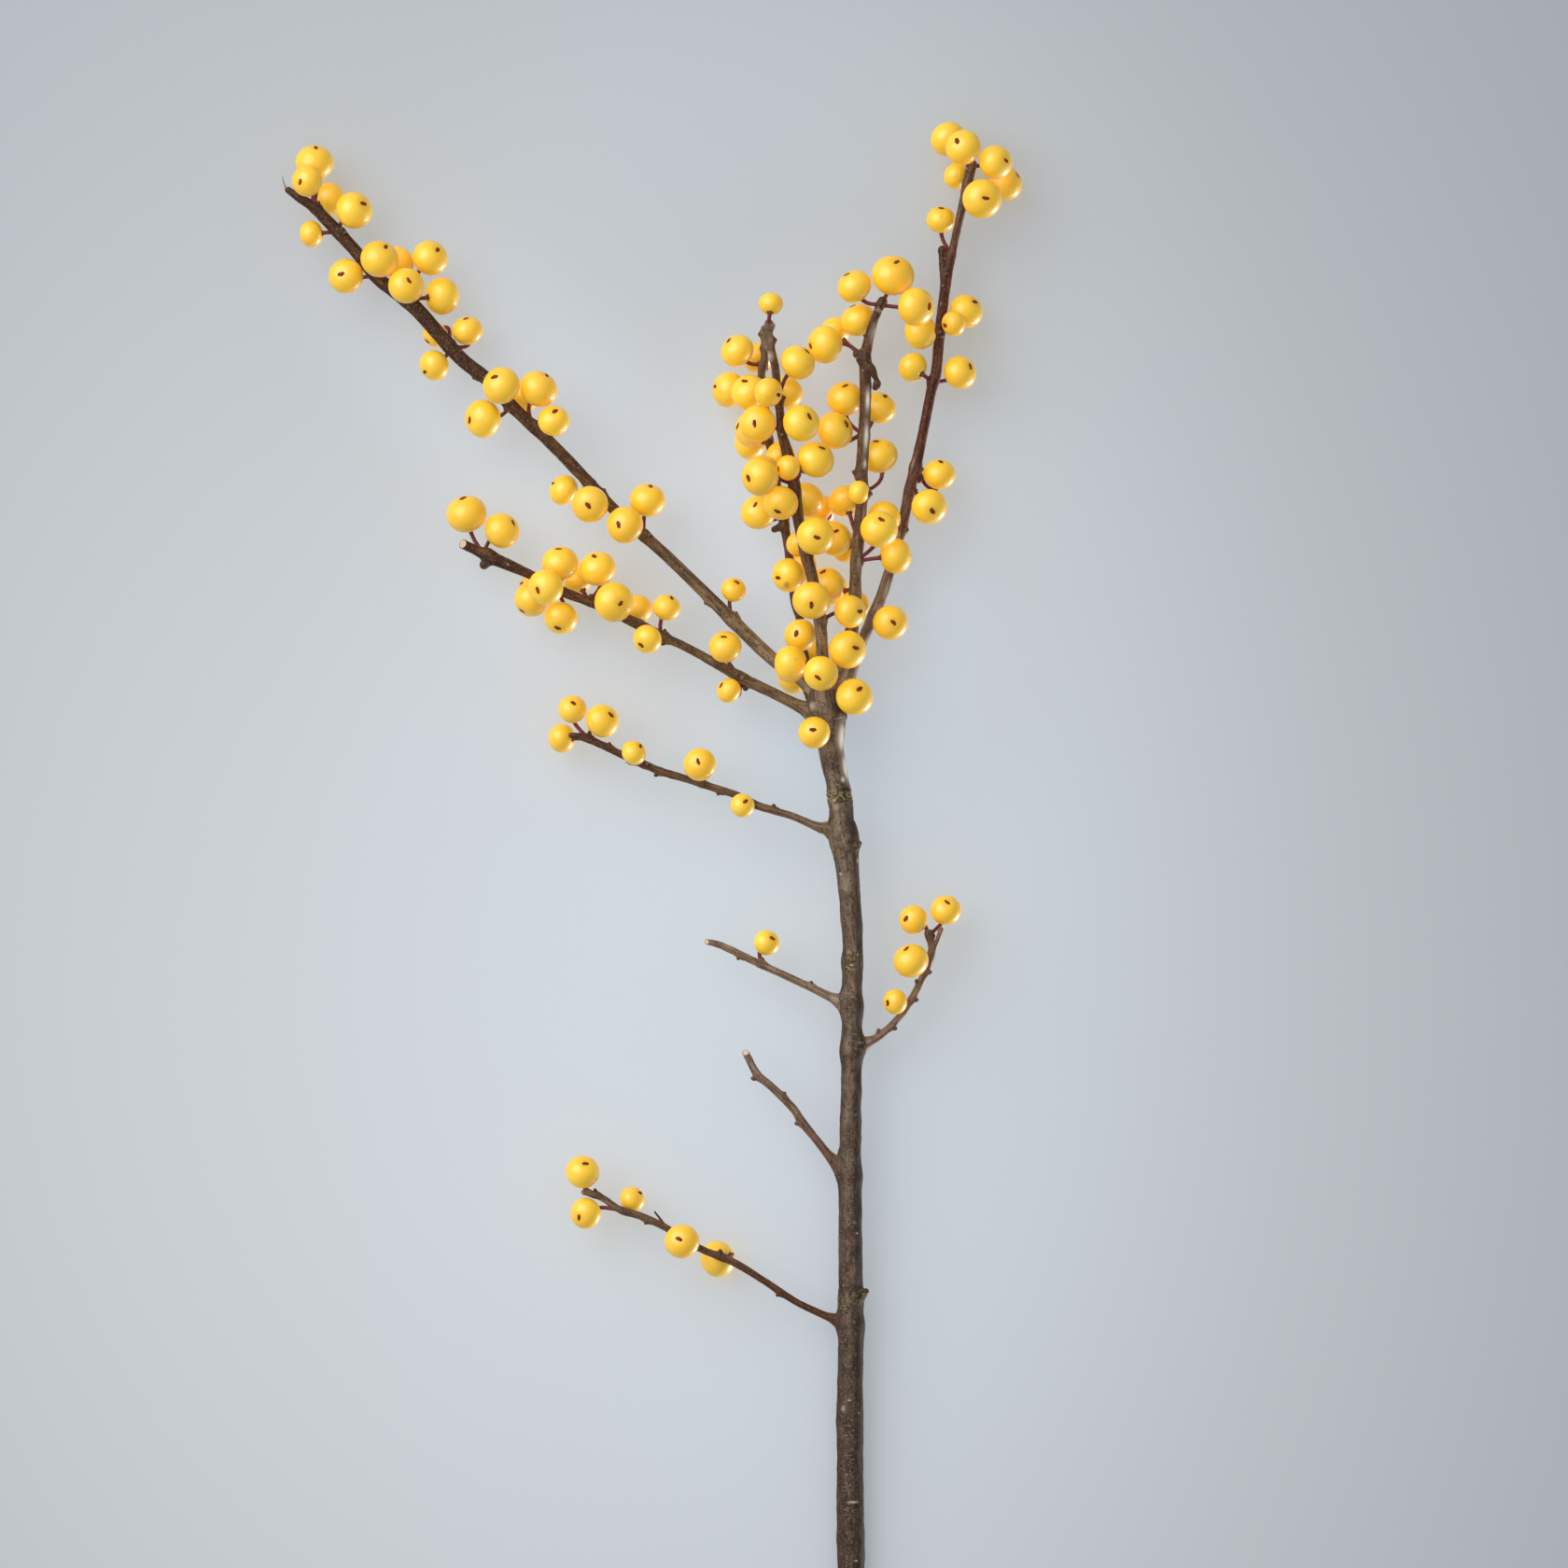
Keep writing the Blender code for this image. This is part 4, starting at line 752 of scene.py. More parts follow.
def closed_faces(rings, sides):
    """Quads between rings of points, and a fan at each end to one of two points after them."""
    total = rings * sides
    faces = []
    for low in range(0, total - sides, sides):
        for j in range(sides):
            k = (j + 1) % sides
            faces.append((low + j, low + k, low + sides + k, low + sides + j))
    faces += [((j + 1) % sides, j, total) for j in range(sides)]
    last = total - sides
    return faces + [(last + j, last + (j + 1) % sides, total + 1) for j in range(sides)]


def turned_over(faces):
    return [face[::-1] for face in faces]


def ring_frames(points, sides):
    """Directions along, beside and above every place of a walk, without twist, and all round."""
    along = np.gradient(points, axis=0)
    along /= np.linalg.norm(along, axis=1)[:, None]
    beside = np.empty_like(points)
    side = np.cross(along[0], (0, 0, 1))
    for i, forward in enumerate(along):
        side = unit(side - forward * side.dot(forward))
        beside[i] = side
    above = np.cross(beside, along)
    turn = turns(sides)[None, :, None]
    return along, beside, above, np.cos(turn) * beside[:, None] + np.sin(turn) * above[:, None]


class Wood:
    """The skin of one length of wood, as rings of points round its walk."""

    def __init__(self, node, route, sides, step, seed, parent=None):
        self.node = node
        self.parent = parent
        self.sides = sides
        self.seed = seed
        walk = np.array(smooth_walk(route, step))
        self.centres = walk[:, :3]
        self.radius = walk[:, 3] / 2
        gaps = np.linalg.norm(np.diff(self.centres, axis=0), axis=1)
        self.reach = np.concatenate([[0.0], np.cumsum(gaps)])
        self.is_branch = parent is not None and parent.parent is None
        if self.is_branch:
            self.radius = self.radius * (1 + FLARE * fade(self.reach, FLARE_LENGTH))
        self.forward, self.side, self.up, self.outward = ring_frames(self.centres, sides)
        shape = (len(walk), sides)
        self.relief, self.rise, self.pale, self.dark, self.rough = (np.zeros(shape) for _ in range(5))
        self.points = None

    def nearest(self, x, y):
        return int(np.argmin(np.hypot(self.centres[:, 0] - x, self.centres[:, 1] - y)))

    def square_to(self, i, place):
        """The direction from the wood to a place, square to the wood there."""
        direction = place - self.centres[i]
        return unit(direction - self.forward[i] * self.forward[i].dot(direction))

    def bump(self, at, around, long, wide, height, pale=0.0, dark=0.0, rough=0.0):
        """Raise a rounded bump, or a ring right round where no angle is given."""
        share = fade(self.reach - at, long)[:, None]
        if around is not None:
            turn = (turns(self.sides) - around + np.pi) % (2 * np.pi) - np.pi
            share = share * fade(turn[None] * self.radius[:, None], wide)
        self.relief += height * share
        self.pale = np.maximum(self.pale, pale * share)
        self.dark = np.maximum(self.dark, dark * share)
        self.rough = np.maximum(self.rough, rough * share)

    def mark(self, x, y, long, wide, height, *tones):
        """A bump by its place as seen from above."""
        i = self.nearest(x, y)
        across = (x - self.centres[i][0]) * self.side[i][0] + (y - self.centres[i][1]) * self.side[i][1]
        around = math.acos(max(-1.0, min(1.0, across / self.radius[i])))
        self.bump(self.reach[i], around, long, wide, height, *tones)

    def knot(self, surface, i, out, length, width):
        """A bud on a knot of its own, over a pale leaf scar."""
        around, at = math.atan2(self.up[i].dot(out), self.side[i].dot(out)), self.reach[i]
        wide = 0.6 * self.radius[i]
        self.bump(at, around, 0.9, wide, 0.3 * math.sqrt(self.radius[i]), rough=0.6)
        self.bump(at - 0.8, around, 0.3, wide * 0.8, 0.14, pale=0.7)
        self.bump(at - 1.25, around, 0.2, wide, -0.02, dark=0.8)
        base = self.centres[i] + out * self.radius[i] * 0.8
        lean = unit(out + self.forward[i] * BUD_LEAN)
        share = BUD_ALONG[:, None]
        fair, red = BARK[self.node][:2]
        add_tube(
            surface, base + (out * (1 - share) + lean * share) * share * length,
            BUD_ROUND * width / 2, BUD_SIDES, dark=BUD_DARK, pale=0.1, rough=0.4, fair=fair, red=red,
        )

    def add_knots(self, surface, berries):
        """Knots, buds and rings where leaves once grew."""
        walk = smooth_walk(ROUTES[self.node])
        for x, y, *_ in AXILS.get(self.node, ()):
            i = self.nearest(x, y)
            root = Vector(nearest_place(walk, x, y)[:3])
            fed = [np.array(b.centre) for b in berries if b.node == self.node and b.root == root]
            self.bump(self.reach[i], None, 1.3, None, 0.12, rough=0.25)
            self.bump(self.reach[i] - 0.9, None, 0.14, None, -0.03, dark=0.4)
            self.knot(surface, i, self.square_to(i, sum(fed) / len(fed)), 1.0, 0.85)
        for x, y, length in EXTRA_BUDS.get(self.node, ()):
            i = self.nearest(x, y)
            out = self.square_to(i, np.array((x, y, self.centres[i][2] + 0.3)))
            self.knot(surface, i, out, length * 0.8, length * 0.85)

    def straightened(self):
        """Places on the skin as if the wood were straight, for grain that follows it."""
        across, above = (self.radius[:, None] * wave(turns(self.sides)) for wave in (np.cos, np.sin))
        return np.stack([across, above, np.broadcast_to(self.reach[:, None], across.shape)], axis=-1)

    def roughen(self, amount, waves):
        """Long low ridges, fine unevenness and slow waves all over, and crust in rough places."""
        straight = self.straightened().reshape(-1, 3)
        relief = sum(
            weight * ripple(straight * stretch, pitch, self.seed + n)
            for n, (stretch, pitch, weight) in enumerate((*BARK_WAVES, (*SLOW_WAVES, waves)))
        )
        crust = sum(ripple(straight, pitch, self.seed + n) for n, pitch in CRUST_WAVES.items())
        self.relief += amount * relief.reshape(self.relief.shape)
        self.relief += CRUST_DEPTH * self.rough * crust.reshape(self.relief.shape)
        self.points = self.centres[:, None] + self.outward * (self.radius[:, None] + self.relief)[..., None]

    def add_pores(self, per_mm, wide, long, most):
        """Small raised pale pores scattered over the bark."""
        draw = np.random.default_rng(self.seed + PORE_SEED)
        for _ in range(round(per_mm * self.reach[-1])):
            at, around = draw.uniform(0, self.reach[-1]), draw.uniform(0, 2 * np.pi)
            size = draw.uniform(*PORE_SIZES)
            pale = draw.uniform(PORE_PALE, most)
            self.bump(at, around, long * size, wide * size, MARK_HEIGHT, pale)

    def distance(self, points, count):
        """How far points are from the round form of this wood's first rings."""
        gaps = np.linalg.norm(points[:, None] - self.centres[:count][None], axis=2)
        return (gaps - self.radius[:count]).min(axis=1)

    def swell(self, other):
        """Let the skin swell towards another wood, to meet it in a smooth curve."""
        thin = min(self.radius[0], other.radius[0])
        blend = min(FILLET, (STEM_FILLET if self.node != other.node else SPUR_FILLET) * thin)
        foot = other if other.parent is self else self
        near = np.linalg.norm(self.centres - foot.centres[0], axis=1) < FOOT_LENGTH
        if foot is self:
            near &= self.reach <= FOOT_LENGTH
        count = None if self.parent is other else np.count_nonzero(other.reach <= FOOT_LENGTH)
        gap = other.distance(self.points[near].reshape(-1, 3), count).clip(0, blend)
        rise = ((blend - gap) ** 2 / (4 * blend)).reshape(-1, self.sides)
        self.rise[near] = np.maximum(self.rise[near], rise)

    def end_rows(self, end, cut):
        """Rings that close one end of the wood from its edge inwards, and the point in their middle."""
        edge, centre = self.points[end], self.centres[end]
        if cut:
            middle = edge.mean(axis=0)
            return [middle + (edge - middle) * share for share in CUT_SHARES], middle
        outward = self.forward[end] * (1 if end else -1)
        rise = self.radius[end] * TIP_RISE
        rows = [
            centre + (edge - centre) * share + outward * rise * math.sqrt(1 - share ** 2)
            for share in TIP_SHARES
        ]
        return rows, centre + outward * rise * TIP_POINT

    def add_to(self, surface, cut_foot, cut_tip):
        """Put the skin on a surface, each end cut flat or rounded."""
        foot_rows, foot_middle = self.end_rows(0, cut_foot)
        tip_rows, tip_middle = self.end_rows(-1, cut_tip)
        rows = foot_rows[::-1] + list(self.points) + tip_rows
        bands = [cut_foot] * (len(foot_rows) - 1) + [False] * (len(self.points) + 1)
        bands += [cut_tip] * (len(tip_rows) - 1) + [cut_foot, cut_tip]
        ring = np.arange(-len(foot_rows), len(rows) - len(foot_rows)).clip(0, len(self.points) - 1)

        def spread(values):
            """Each point's value, from those of the rings or of their points."""
            if values.ndim == 1:
                values = np.repeat(values[:, None], self.sides, axis=1)
            flat = values[ring].reshape(-1, *values.shape[2:])
            return np.concatenate([flat, flat[:1], flat[-1:]])

        fair, red, *casts = BARK[self.node]
        along = self.reach / self.reach[-1]
        values = {
            "grain": self.straightened(), "tone": along,
            "pale": self.pale, "dark": self.dark, "rough": self.rough,
            "age": np.clip((self.radius - YOUNG_RADIUS) / AGE_SPAN, 0, 1),
            # how far each point faces the painted light, which paints light and shade on the bark
            "sun": self.outward @ (TWIG_PAINTED_LIGHT if self.parent else STEM_PAINTED_LIGHT),
        }
        if self.is_branch:
            values["cast"] = np.interp(along, CAST_PLACES, casts)
        surface.add(
            np.concatenate([*rows, [foot_middle, tip_middle]]), closed_faces(len(rows), self.sides),
            np.repeat(bands, self.sides).astype(int), fair=fair, red=red,
            **{name: spread(held) for name, held in values.items()},
        )


def add_tube(surface, path, radii, sides, **values):
    """A closed round form along a path, its ends drawn in to points."""
    outward = ring_frames(path, sides)[3]
    points = (path[:, None] + outward * np.asarray(radii)[:, None, None]).reshape(-1, 3)
    for name, value in values.items():
        if np.ndim(value):
            values[name] = np.concatenate([np.repeat(value, sides), value[:1], value[-1:]])
    surface.add(np.concatenate([points, path[:1], path[-1:]]), closed_faces(len(path), sides), **values)


def add_stalk(surface, berry, berries):
    """A curved stalk from the wood to the berry, clear of the fruit between them."""
    axis, centre, root = (np.array(held) for held in (berry.axis(), berry.centre, berry.root))
    start = root + unit(centre - axis * berry.radius - root) * berry.wood_width / 2 * STALK_START
    pole = centre - axis * berry.radius * (FRUIT_LENGTH - SCAR_HOLLOW)
    pull = 0.4 * np.linalg.norm(pole - start)
    first = start + unit(pole - axis * pull - start) * pull * 0.8
    second = pole - axis * max(pull, 0.8)
    along = np.linspace(0, 1, STALK_RINGS)
    share = along[:, None]
    path = (
        (1 - share) ** 3 * start + 3 * (1 - share) ** 2 * share * first
        + 3 * (1 - share) * share ** 2 * second + share ** 3 * pole
    )
    inner = along[1:-1]
    for _ in range(STALK_ROUNDS):
        for other in berries:
            clear = other.radius + STALK_GAP
            if other is berry:
                clear = berry.radius + STALK_GAP * (1 - inner) - STALK_SINK * inner ** 6
            gap = path[1:-1] - np.array(other.centre)
            length = np.linalg.norm(gap, axis=1)
            push = np.clip(clear - length, 0, None) * (1 - inner ** 8)
            path[1:-1] += gap / length[:, None] * push[:, None]
        path[1:-1] = 0.25 * path[:-2] + 0.5 * path[1:-1] + 0.25 * path[2:]
    width = 1 + 0.35 * fade(along, 0.12) + 0.3 * fade(1 - along, 0.1)
    add_tube(surface, path, width * STALK_WIDTH / 2, STALK_SIDES, age=along, dark=fade(along, 0.1))


def berry_form():
    """A fruit of radius 1: its points, faces and each point's angle from the scar."""
    polar = np.linspace(0, np.pi, BERRY_RINGS + 1)[1:-1]
    turn = turns(BERRY_SIDES)
    height = np.cos(polar) * FRUIT_LENGTH
    height -= SCAR_HOLLOW * fade(polar, HOLLOW_REACH)
    height += STALK_HOLLOW * fade(np.pi - polar, HOLLOW_REACH)
    points = np.stack([
        np.outer(np.sin(polar), np.cos(turn)) * FRUIT_WIDTH,
        np.outer(np.sin(polar), np.sin(turn)) * FRUIT_WIDTH,
        np.repeat(height[:, None], BERRY_SIDES, axis=1),
    ], axis=-1).reshape(-1, 3)
    ends = [(0, 0, FRUIT_LENGTH - SCAR_HOLLOW), (0, 0, STALK_HOLLOW - FRUIT_LENGTH)]
    faces = turned_over(closed_faces(len(polar), BERRY_SIDES))
    return np.concatenate([points, ends]), faces, np.concatenate([np.repeat(polar, BERRY_SIDES), [0, np.pi]])


def lens_form(sides, edge):
    """A flat rounded boss of radius 1, its edge drawn by a function of the angle."""
    turn = turns(sides)
    share = np.arange(1, LENS_RINGS + 1)[:, None] / LENS_RINGS
    radius = share * edge(turn)
    height = np.broadcast_to(np.sqrt(1 - share ** 2.6), radius.shape)
    points = np.stack([radius * np.cos(turn), radius * np.sin(turn), height], axis=-1).reshape(-1, 3)
    return np.concatenate([points, [(0, 0, 1.0), (0, 0, -0.6)]]), closed_faces(LENS_RINGS, sides)


def scar_edge(turn):
    return 1 + 0.1 * np.cos(2 * turn) + 0.07 * np.cos(5 * turn + 1) + 0.05 * np.sin(3 * turn)


def calyx_edge(turn):
    return 0.62 + 0.38 * np.abs(np.cos(2.5 * turn)) ** 1.5


BERRY_POINTS, BERRY_FACES, BERRY_POLAR = berry_form()
SCAR_POINTS, SCAR_FACES = lens_form(20, scar_edge)
CALYX_POINTS, CALYX_FACES = lens_form(40, calyx_edge)


def add_berry(surface, berry, number):
    """One fruit with the dark scar at its tip and the small calyx at its stalk."""
    draw = np.random.default_rng(BERRY_SEED + number)
    centre, radius = np.array(berry.centre), berry.radius
    upright = np.array(berry.axis().to_track_quat("Z", "Y").to_matrix())
    turned = (upright @ np.array(Matrix.Rotation(GOLDEN_TURN * number, 3, "Z"))).T
    lumps = 1 + LUMP_HEIGHT * ripple(BERRY_POINTS, LUMP_PITCH, LUMP_SEED + number)
    points = (BERRY_POINTS * lumps[:, None] * radius) @ turned + centre
    spot = np.zeros(len(points))
    for x, y, wide, strength in BLEMISHES:
        if math.hypot(berry.centre.x - x, berry.centre.y - y) < radius:
            gap = np.hypot(points[:, 0] - x, points[:, 1] - y)
            spot = np.maximum(spot, strength * fade(gap, wide) * (points[:, 2] > centre[2]))
    # how much painted shade deepens the skin, most at the scar
    halo = fade(BERRY_POLAR, SCAR_SHADE_REACH)
    surface.add(points, BERRY_FACES, 0, tone=draw.uniform(0, 1), halo=halo, spot=spot)
    size = SCAR_SIZE[0] + SCAR_SIZE[1] * radius
    roll = np.array(Matrix.Rotation(draw.uniform(0, np.pi), 3, "Z"))
    flatten = np.array((size, size * draw.uniform(*SCAR_NARROW), SCAR_HEIGHT))
    scar = (SCAR_POINTS * flatten) @ roll.T + (0, 0, radius * (FRUIT_LENGTH - SCAR_SINK))
    surface.add(scar @ turned + centre, SCAR_FACES, 1)
    calyx = CALYX_POINTS * (1.0, 1.0, -CALYX_HEIGHT) - (0, 0, radius * (FRUIT_LENGTH - SCAR_HOLLOW))
    calyx[:, 2] += 0.5 * np.hypot(calyx[:, 0], calyx[:, 1]) ** 2 / radius
    surface.add(calyx @ turned + centre, turned_over(CALYX_FACES), 2)


class Finish:
    """A procedural finish being put together from shader nodes."""

    def __init__(self, name, kind=bpy.data.materials, shader="Principled BSDF"):
        self.held = kind.new(name)
        self.held.use_nodes = True
        self.tree = self.held.node_tree
        self.shader = self.tree.nodes[shader]

    def plug(self, socket, source):
        if isinstance(source, bpy.types.NodeSocket):
            self.tree.links.new(source, socket)
        else:
            socket.default_value = source

    def node(self, kind, inputs=(), out=0, **settings):
        """One output of a new node, its inputs linked or set to plain values."""
        made = self.tree.nodes.new("ShaderNode" + kind)
        for name, value in settings.items():
            setattr(made, name, value)
        for name, source in dict(inputs).items():
            self.plug(made.inputs[name], source)
        return made.outputs[out]

    def set(self, **values):
        """Link or set the shader's own inputs, which finishes it."""
        for name, value in values.items():
            socket = name.replace("_", " ").title().replace("Ior", "IOR")
            self.plug(self.shader.inputs[socket], value)
        return self.held

    def value(self, name):
        return self.node("Attribute", (), "Fac", attribute_name=name)

    def grain(self):
        """Places in millimetres, along the wood as if it were straight."""
        return self.node("Attribute", (), "Vector", attribute_name="grain")

    def place(self):
        """Places in metres where they lie."""
        return self.node("NewGeometry")

    def noise(self, vector, scale, detail=3.0, stretch=(1, 1, 1)):
        """Noise over places in millimetres, drawn out along an axis where it is asked."""
        spread = self.node("Mapping", {"Vector": vector, "Scale": stretch})
        return self.node("TexNoise", {"Vector": spread, "Scale": scale, "Detail": detail})

    def steps(self, source, low, high, top=1.0, bottom=0.0, **settings):
        """The source's range from low to high, spread out from bottom to top."""
        ends = {"From Min": low, "From Max": high, "To Min": bottom, "To Max": top}
        return self.node("MapRange", {"Value": source, **ends}, **settings)

    def mix(self, share, one, other):
        """One colour turning into another by a share."""
        one, other = ((*tint, 1.0) if isinstance(tint, tuple) else tint for tint in (one, other))
        return self.node("Mix", {0: share, 6: one, 7: other}, 2, data_type="RGBA")

    def layers(self, colour, *rows):
        """Tints over a colour, each by how far its source has come from low to high, up to top."""
        for source, low, high, top, tint in rows:
            colour = self.mix(self.steps(source, low, high, top), colour, tint)
        return colour

    def relief(self, source, depth, strength):
        bump = {"Height": source, "Distance": depth * MM, "Strength": strength}
        self.set(normal=self.node("Bump", bump))


def bark_finish():
    """Red-brown on young twigs, grey-brown on the stem, darker down it, cracked at old nodes, with painted
    light and painted shade on their sides and painted highlights on the palest strips.
    """
    finish = Finish("bark")
    grain = finish.grain()
    streaks = finish.noise(grain, 1.5, 4.0, (1, 1, 0.14))
    patches = finish.noise(grain, 0.45, 4.0, (1, 1, 0.6))
    speckle = finish.noise(grain, 2.6, 3.0, (1, 1, 0.7))
    lines = finish.noise(grain, 1.9, 1.0, (0.45, 0.45, 1.5))
    crust = finish.noise(grain, 1.7, 4.0)
    age, red, sun, tone, cast, pale = map(finish.value, ("age", "red", "sun", "tone", "cast", "pale"))
    brown = finish.mix(tone, (0.14, 0.067, 0.01), (0.062, 0.023, 0.005))
    dim = finish.mix(red, brown, (0.092, 0.012, 0.007))
    fair = finish.mix(red, (0.3, 0.17, 0.105), (0.26, 0.138, 0.102))
    young = finish.layers(
        finish.mix(finish.value("fair"), dim, fair),
        # painted light on the twigs' sides facing the light, painted shade on the sides facing away
        (sun, 0.25, 0.95, 0.68, finish.mix(red, (0.4, 0.22, 0.115), (0.25, 0.085, 0.05))),
        (sun, 0.0, -0.8, 0.45, (0.05, 0.016, 0.01)),
        (cast, 0.0, 1.0, 0.8, (0.4, 0.31, 0.19)),
        (cast, 0.0, -1.0, 0.85, (0.03, 0.006, 0.002)),
        (streaks, 0.42, 0.6, 0.6, (0.028, 0.011, 0.007)),
        (patches, 0.44, 0.6, 0.35, (0.04, 0.018, 0.01)),
        (streaks, 0.42, 0.3, 0.4, (0.25, 0.12, 0.036)),
    )
    patched = finish.steps(patches, 0.36, 0.64)
    low = finish.mix(patched, (0.042, 0.023, 0.015), (0.092, 0.055, 0.036))
    high = finish.mix(patched, (0.095, 0.06, 0.04), (0.24, 0.172, 0.118))
    old = finish.mix(finish.steps(tone, 0.22, 0.85), low, high)
    old = finish.layers(old, (streaks, 0.5, 0.66, 0.7, (0.05, 0.032, 0.024)))
    grown = finish.steps(age, 0.5, 0.78)
    colour = finish.layers(
        finish.mix(grown, young, old),
        (speckle, 0.55, 0.68, 0.65, finish.mix(age, (0.15, 0.078, 0.022), (0.23, 0.165, 0.11))),
        (speckle, 0.46, 0.34, 0.7, (0.02, 0.01, 0.007)),
        (lines, 0.66, 0.74, 0.45, finish.mix(age, (0.15, 0.085, 0.05), (0.36, 0.28, 0.2))),
    )
    # painted shade down the grown stem's right side and along its left edge
    for start, stop, most in ((0.2, -0.35, 0.7), (0.62, 0.95, 0.5)):
        painted_flank_shade = finish.node("Math", {0: grown, 1: finish.steps(sun, start, stop, most)}, operation="MULTIPLY")
        colour = finish.mix(painted_flank_shade, colour, (0.026, 0.016, 0.012))
    crumbs = finish.mix(age, (0.15, 0.08, 0.035), (0.26, 0.19, 0.085))
    cracked = finish.mix(finish.steps(crust, 0.42, 0.56), (0.016, 0.01, 0.007), crumbs)
    colour = finish.layers(
        colour,
        (finish.value("rough"), 0.2, 0.9, 0.85, cracked),
        # pale pores and leaf scars; on the long strips of the stem and branches this tan and the near-white
        # above it are painted highlight
        (pale, 0.25, 0.8, 0.85, (0.42, 0.34, 0.26)),
        (pale, 0.65, 1.0, 0.85, (0.86, 0.78, 0.72)),
        (finish.value("dark"), 0.2, 0.9, 0.85, (0.018, 0.01, 0.007)),
    )
    finish.relief(finish.node("Mix", {0: 0.5, 2: streaks, 3: crust}), 0.14, 0.8)
    dull = finish.steps(age, 0.0, 1.0, 0.72, 0.4)
    return finish.set(base_color=colour, roughness=dull, specular_ior_level=0.16)


def mottled_finish(name, places, scale, dark, light, depth, strength, dull, shine, *layers):
    """A dull skin mottled from dark to light, with layers over that by values of its points."""
    finish = Finish(name)
    mottle = finish.noise(getattr(finish, places)(), scale)
    colour = finish.mix(finish.steps(mottle, 0.35, 0.65), dark, light)
    colour = finish.layers(colour, *((finish.value(value), *row) for value, *row in layers))
    finish.relief(mottle, depth, strength)
    return finish.set(base_color=colour, roughness=dull, specular_ior_level=shine)


def skin_finish():
    """Ripe yellow skin: waxy, deeper yellow round the scar as painted shade, a few faint freckles."""
    finish = Finish("berry_skin")
    grain = finish.grain()
    colour = finish.layers(
        finish.mix(finish.value("tone"), (0.95, 0.545, 0.02), (0.96, 0.605, 0.028)),
        (finish.noise(grain, 0.16, 2.0), 0.4, 0.62, 0.6, (0.93, 0.5, 0.012)),
        # painted shade: deeper yellow towards the scar end
        (finish.value("halo"), 0.3, 1.0, 0.45, (0.76, 0.36, 0.008)),
        (finish.noise(grain, 2.1, 1.0), 0.755, 0.8, 0.3, (0.52, 0.25, 0.02)),
        (finish.value("spot"), 0.15, 0.9, 0.8, (0.32, 0.13, 0.02)),
    )
    finish.relief(finish.noise(grain, 1.1, 2.0), 0.05, 0.2)
    return finish.set(
        base_color=colour, roughness=0.44, specular_ior_level=0.6, coat_weight=0.45,
        coat_roughness=0.2, subsurface_weight=0.08, subsurface_radius=(1.0, 0.7, 0.12),
        subsurface_scale=1.2 * MM,
    )


def floor_finish():
    """A pale floor with painted light: a pool of it round the stem's foot, dimmer towards the edges, and cool
    pale patches under the yellow fruit that paint out its shade.
    """
    finish = Finish("floor")
    place = finish.place()
    colour = FLOOR_TINT
    for middle, stretch, turn, reach, share, tint in FLOOR_PAINTED_LIGHT:
        around = {"Location": (*middle, 0), "Rotation": (0, 0, math.radians(turn)), "Scale": (*stretch, 1)}
        spread = finish.node("Mapping", {"Vector": place, **around}, vector_type="TEXTURE")
        away = finish.node("VectorMath", {0: spread}, "Value", operation="LENGTH")
        near = finish.steps(away, reach, 0.0, share, interpolation_type="SMOOTHSTEP")
        colour = finish.mix(near, colour, tint)
    return finish.set(base_color=colour, roughness=0.9, specular_ior_level=0.15)


def grow_woods():
    """Every length of wood: the stem, the branches and their short offshoots."""
    stem = Wood("main_stem", ROUTES["main_stem"], STEM_SIDES, STEM_STEP, STEM_SEED)
    woods = [stem]
    for n, node in enumerate(list(ROUTES)[1:]):
        seed = TWIG_SEED_STEP * n
        branch = Wood(node, ROUTES[node], TWIG_SIDES, TWIG_STEP, TWIG_SEED + seed, stem)
        woods.append(branch)
        for k, route in enumerate(SPURS.get(node, ())):
            route = FINE_SPURS.get((node, k), route)
            woods.append(Wood(node, route, SPUR_SIDES, TWIG_STEP, SPUR_SEED + seed + k, branch))
    return woods


def join_woods(woods):
    """Run the bark smoothly from each branch to what it grows from, and at the fork."""
    for wood in woods[1:]:
        wood.swell(wood.parent)
        wood.parent.swell(wood)
        for other in woods[1:]:
            beside = other is not wood and other.parent is wood.parent
            if beside and np.linalg.norm(other.centres[0] - wood.centres[0]) < FORK_SPAN:
                wood.swell(other)
    for wood in woods:
        wood.points += wood.outward * np.minimum(wood.rise, FILLET_MOST)[..., None]


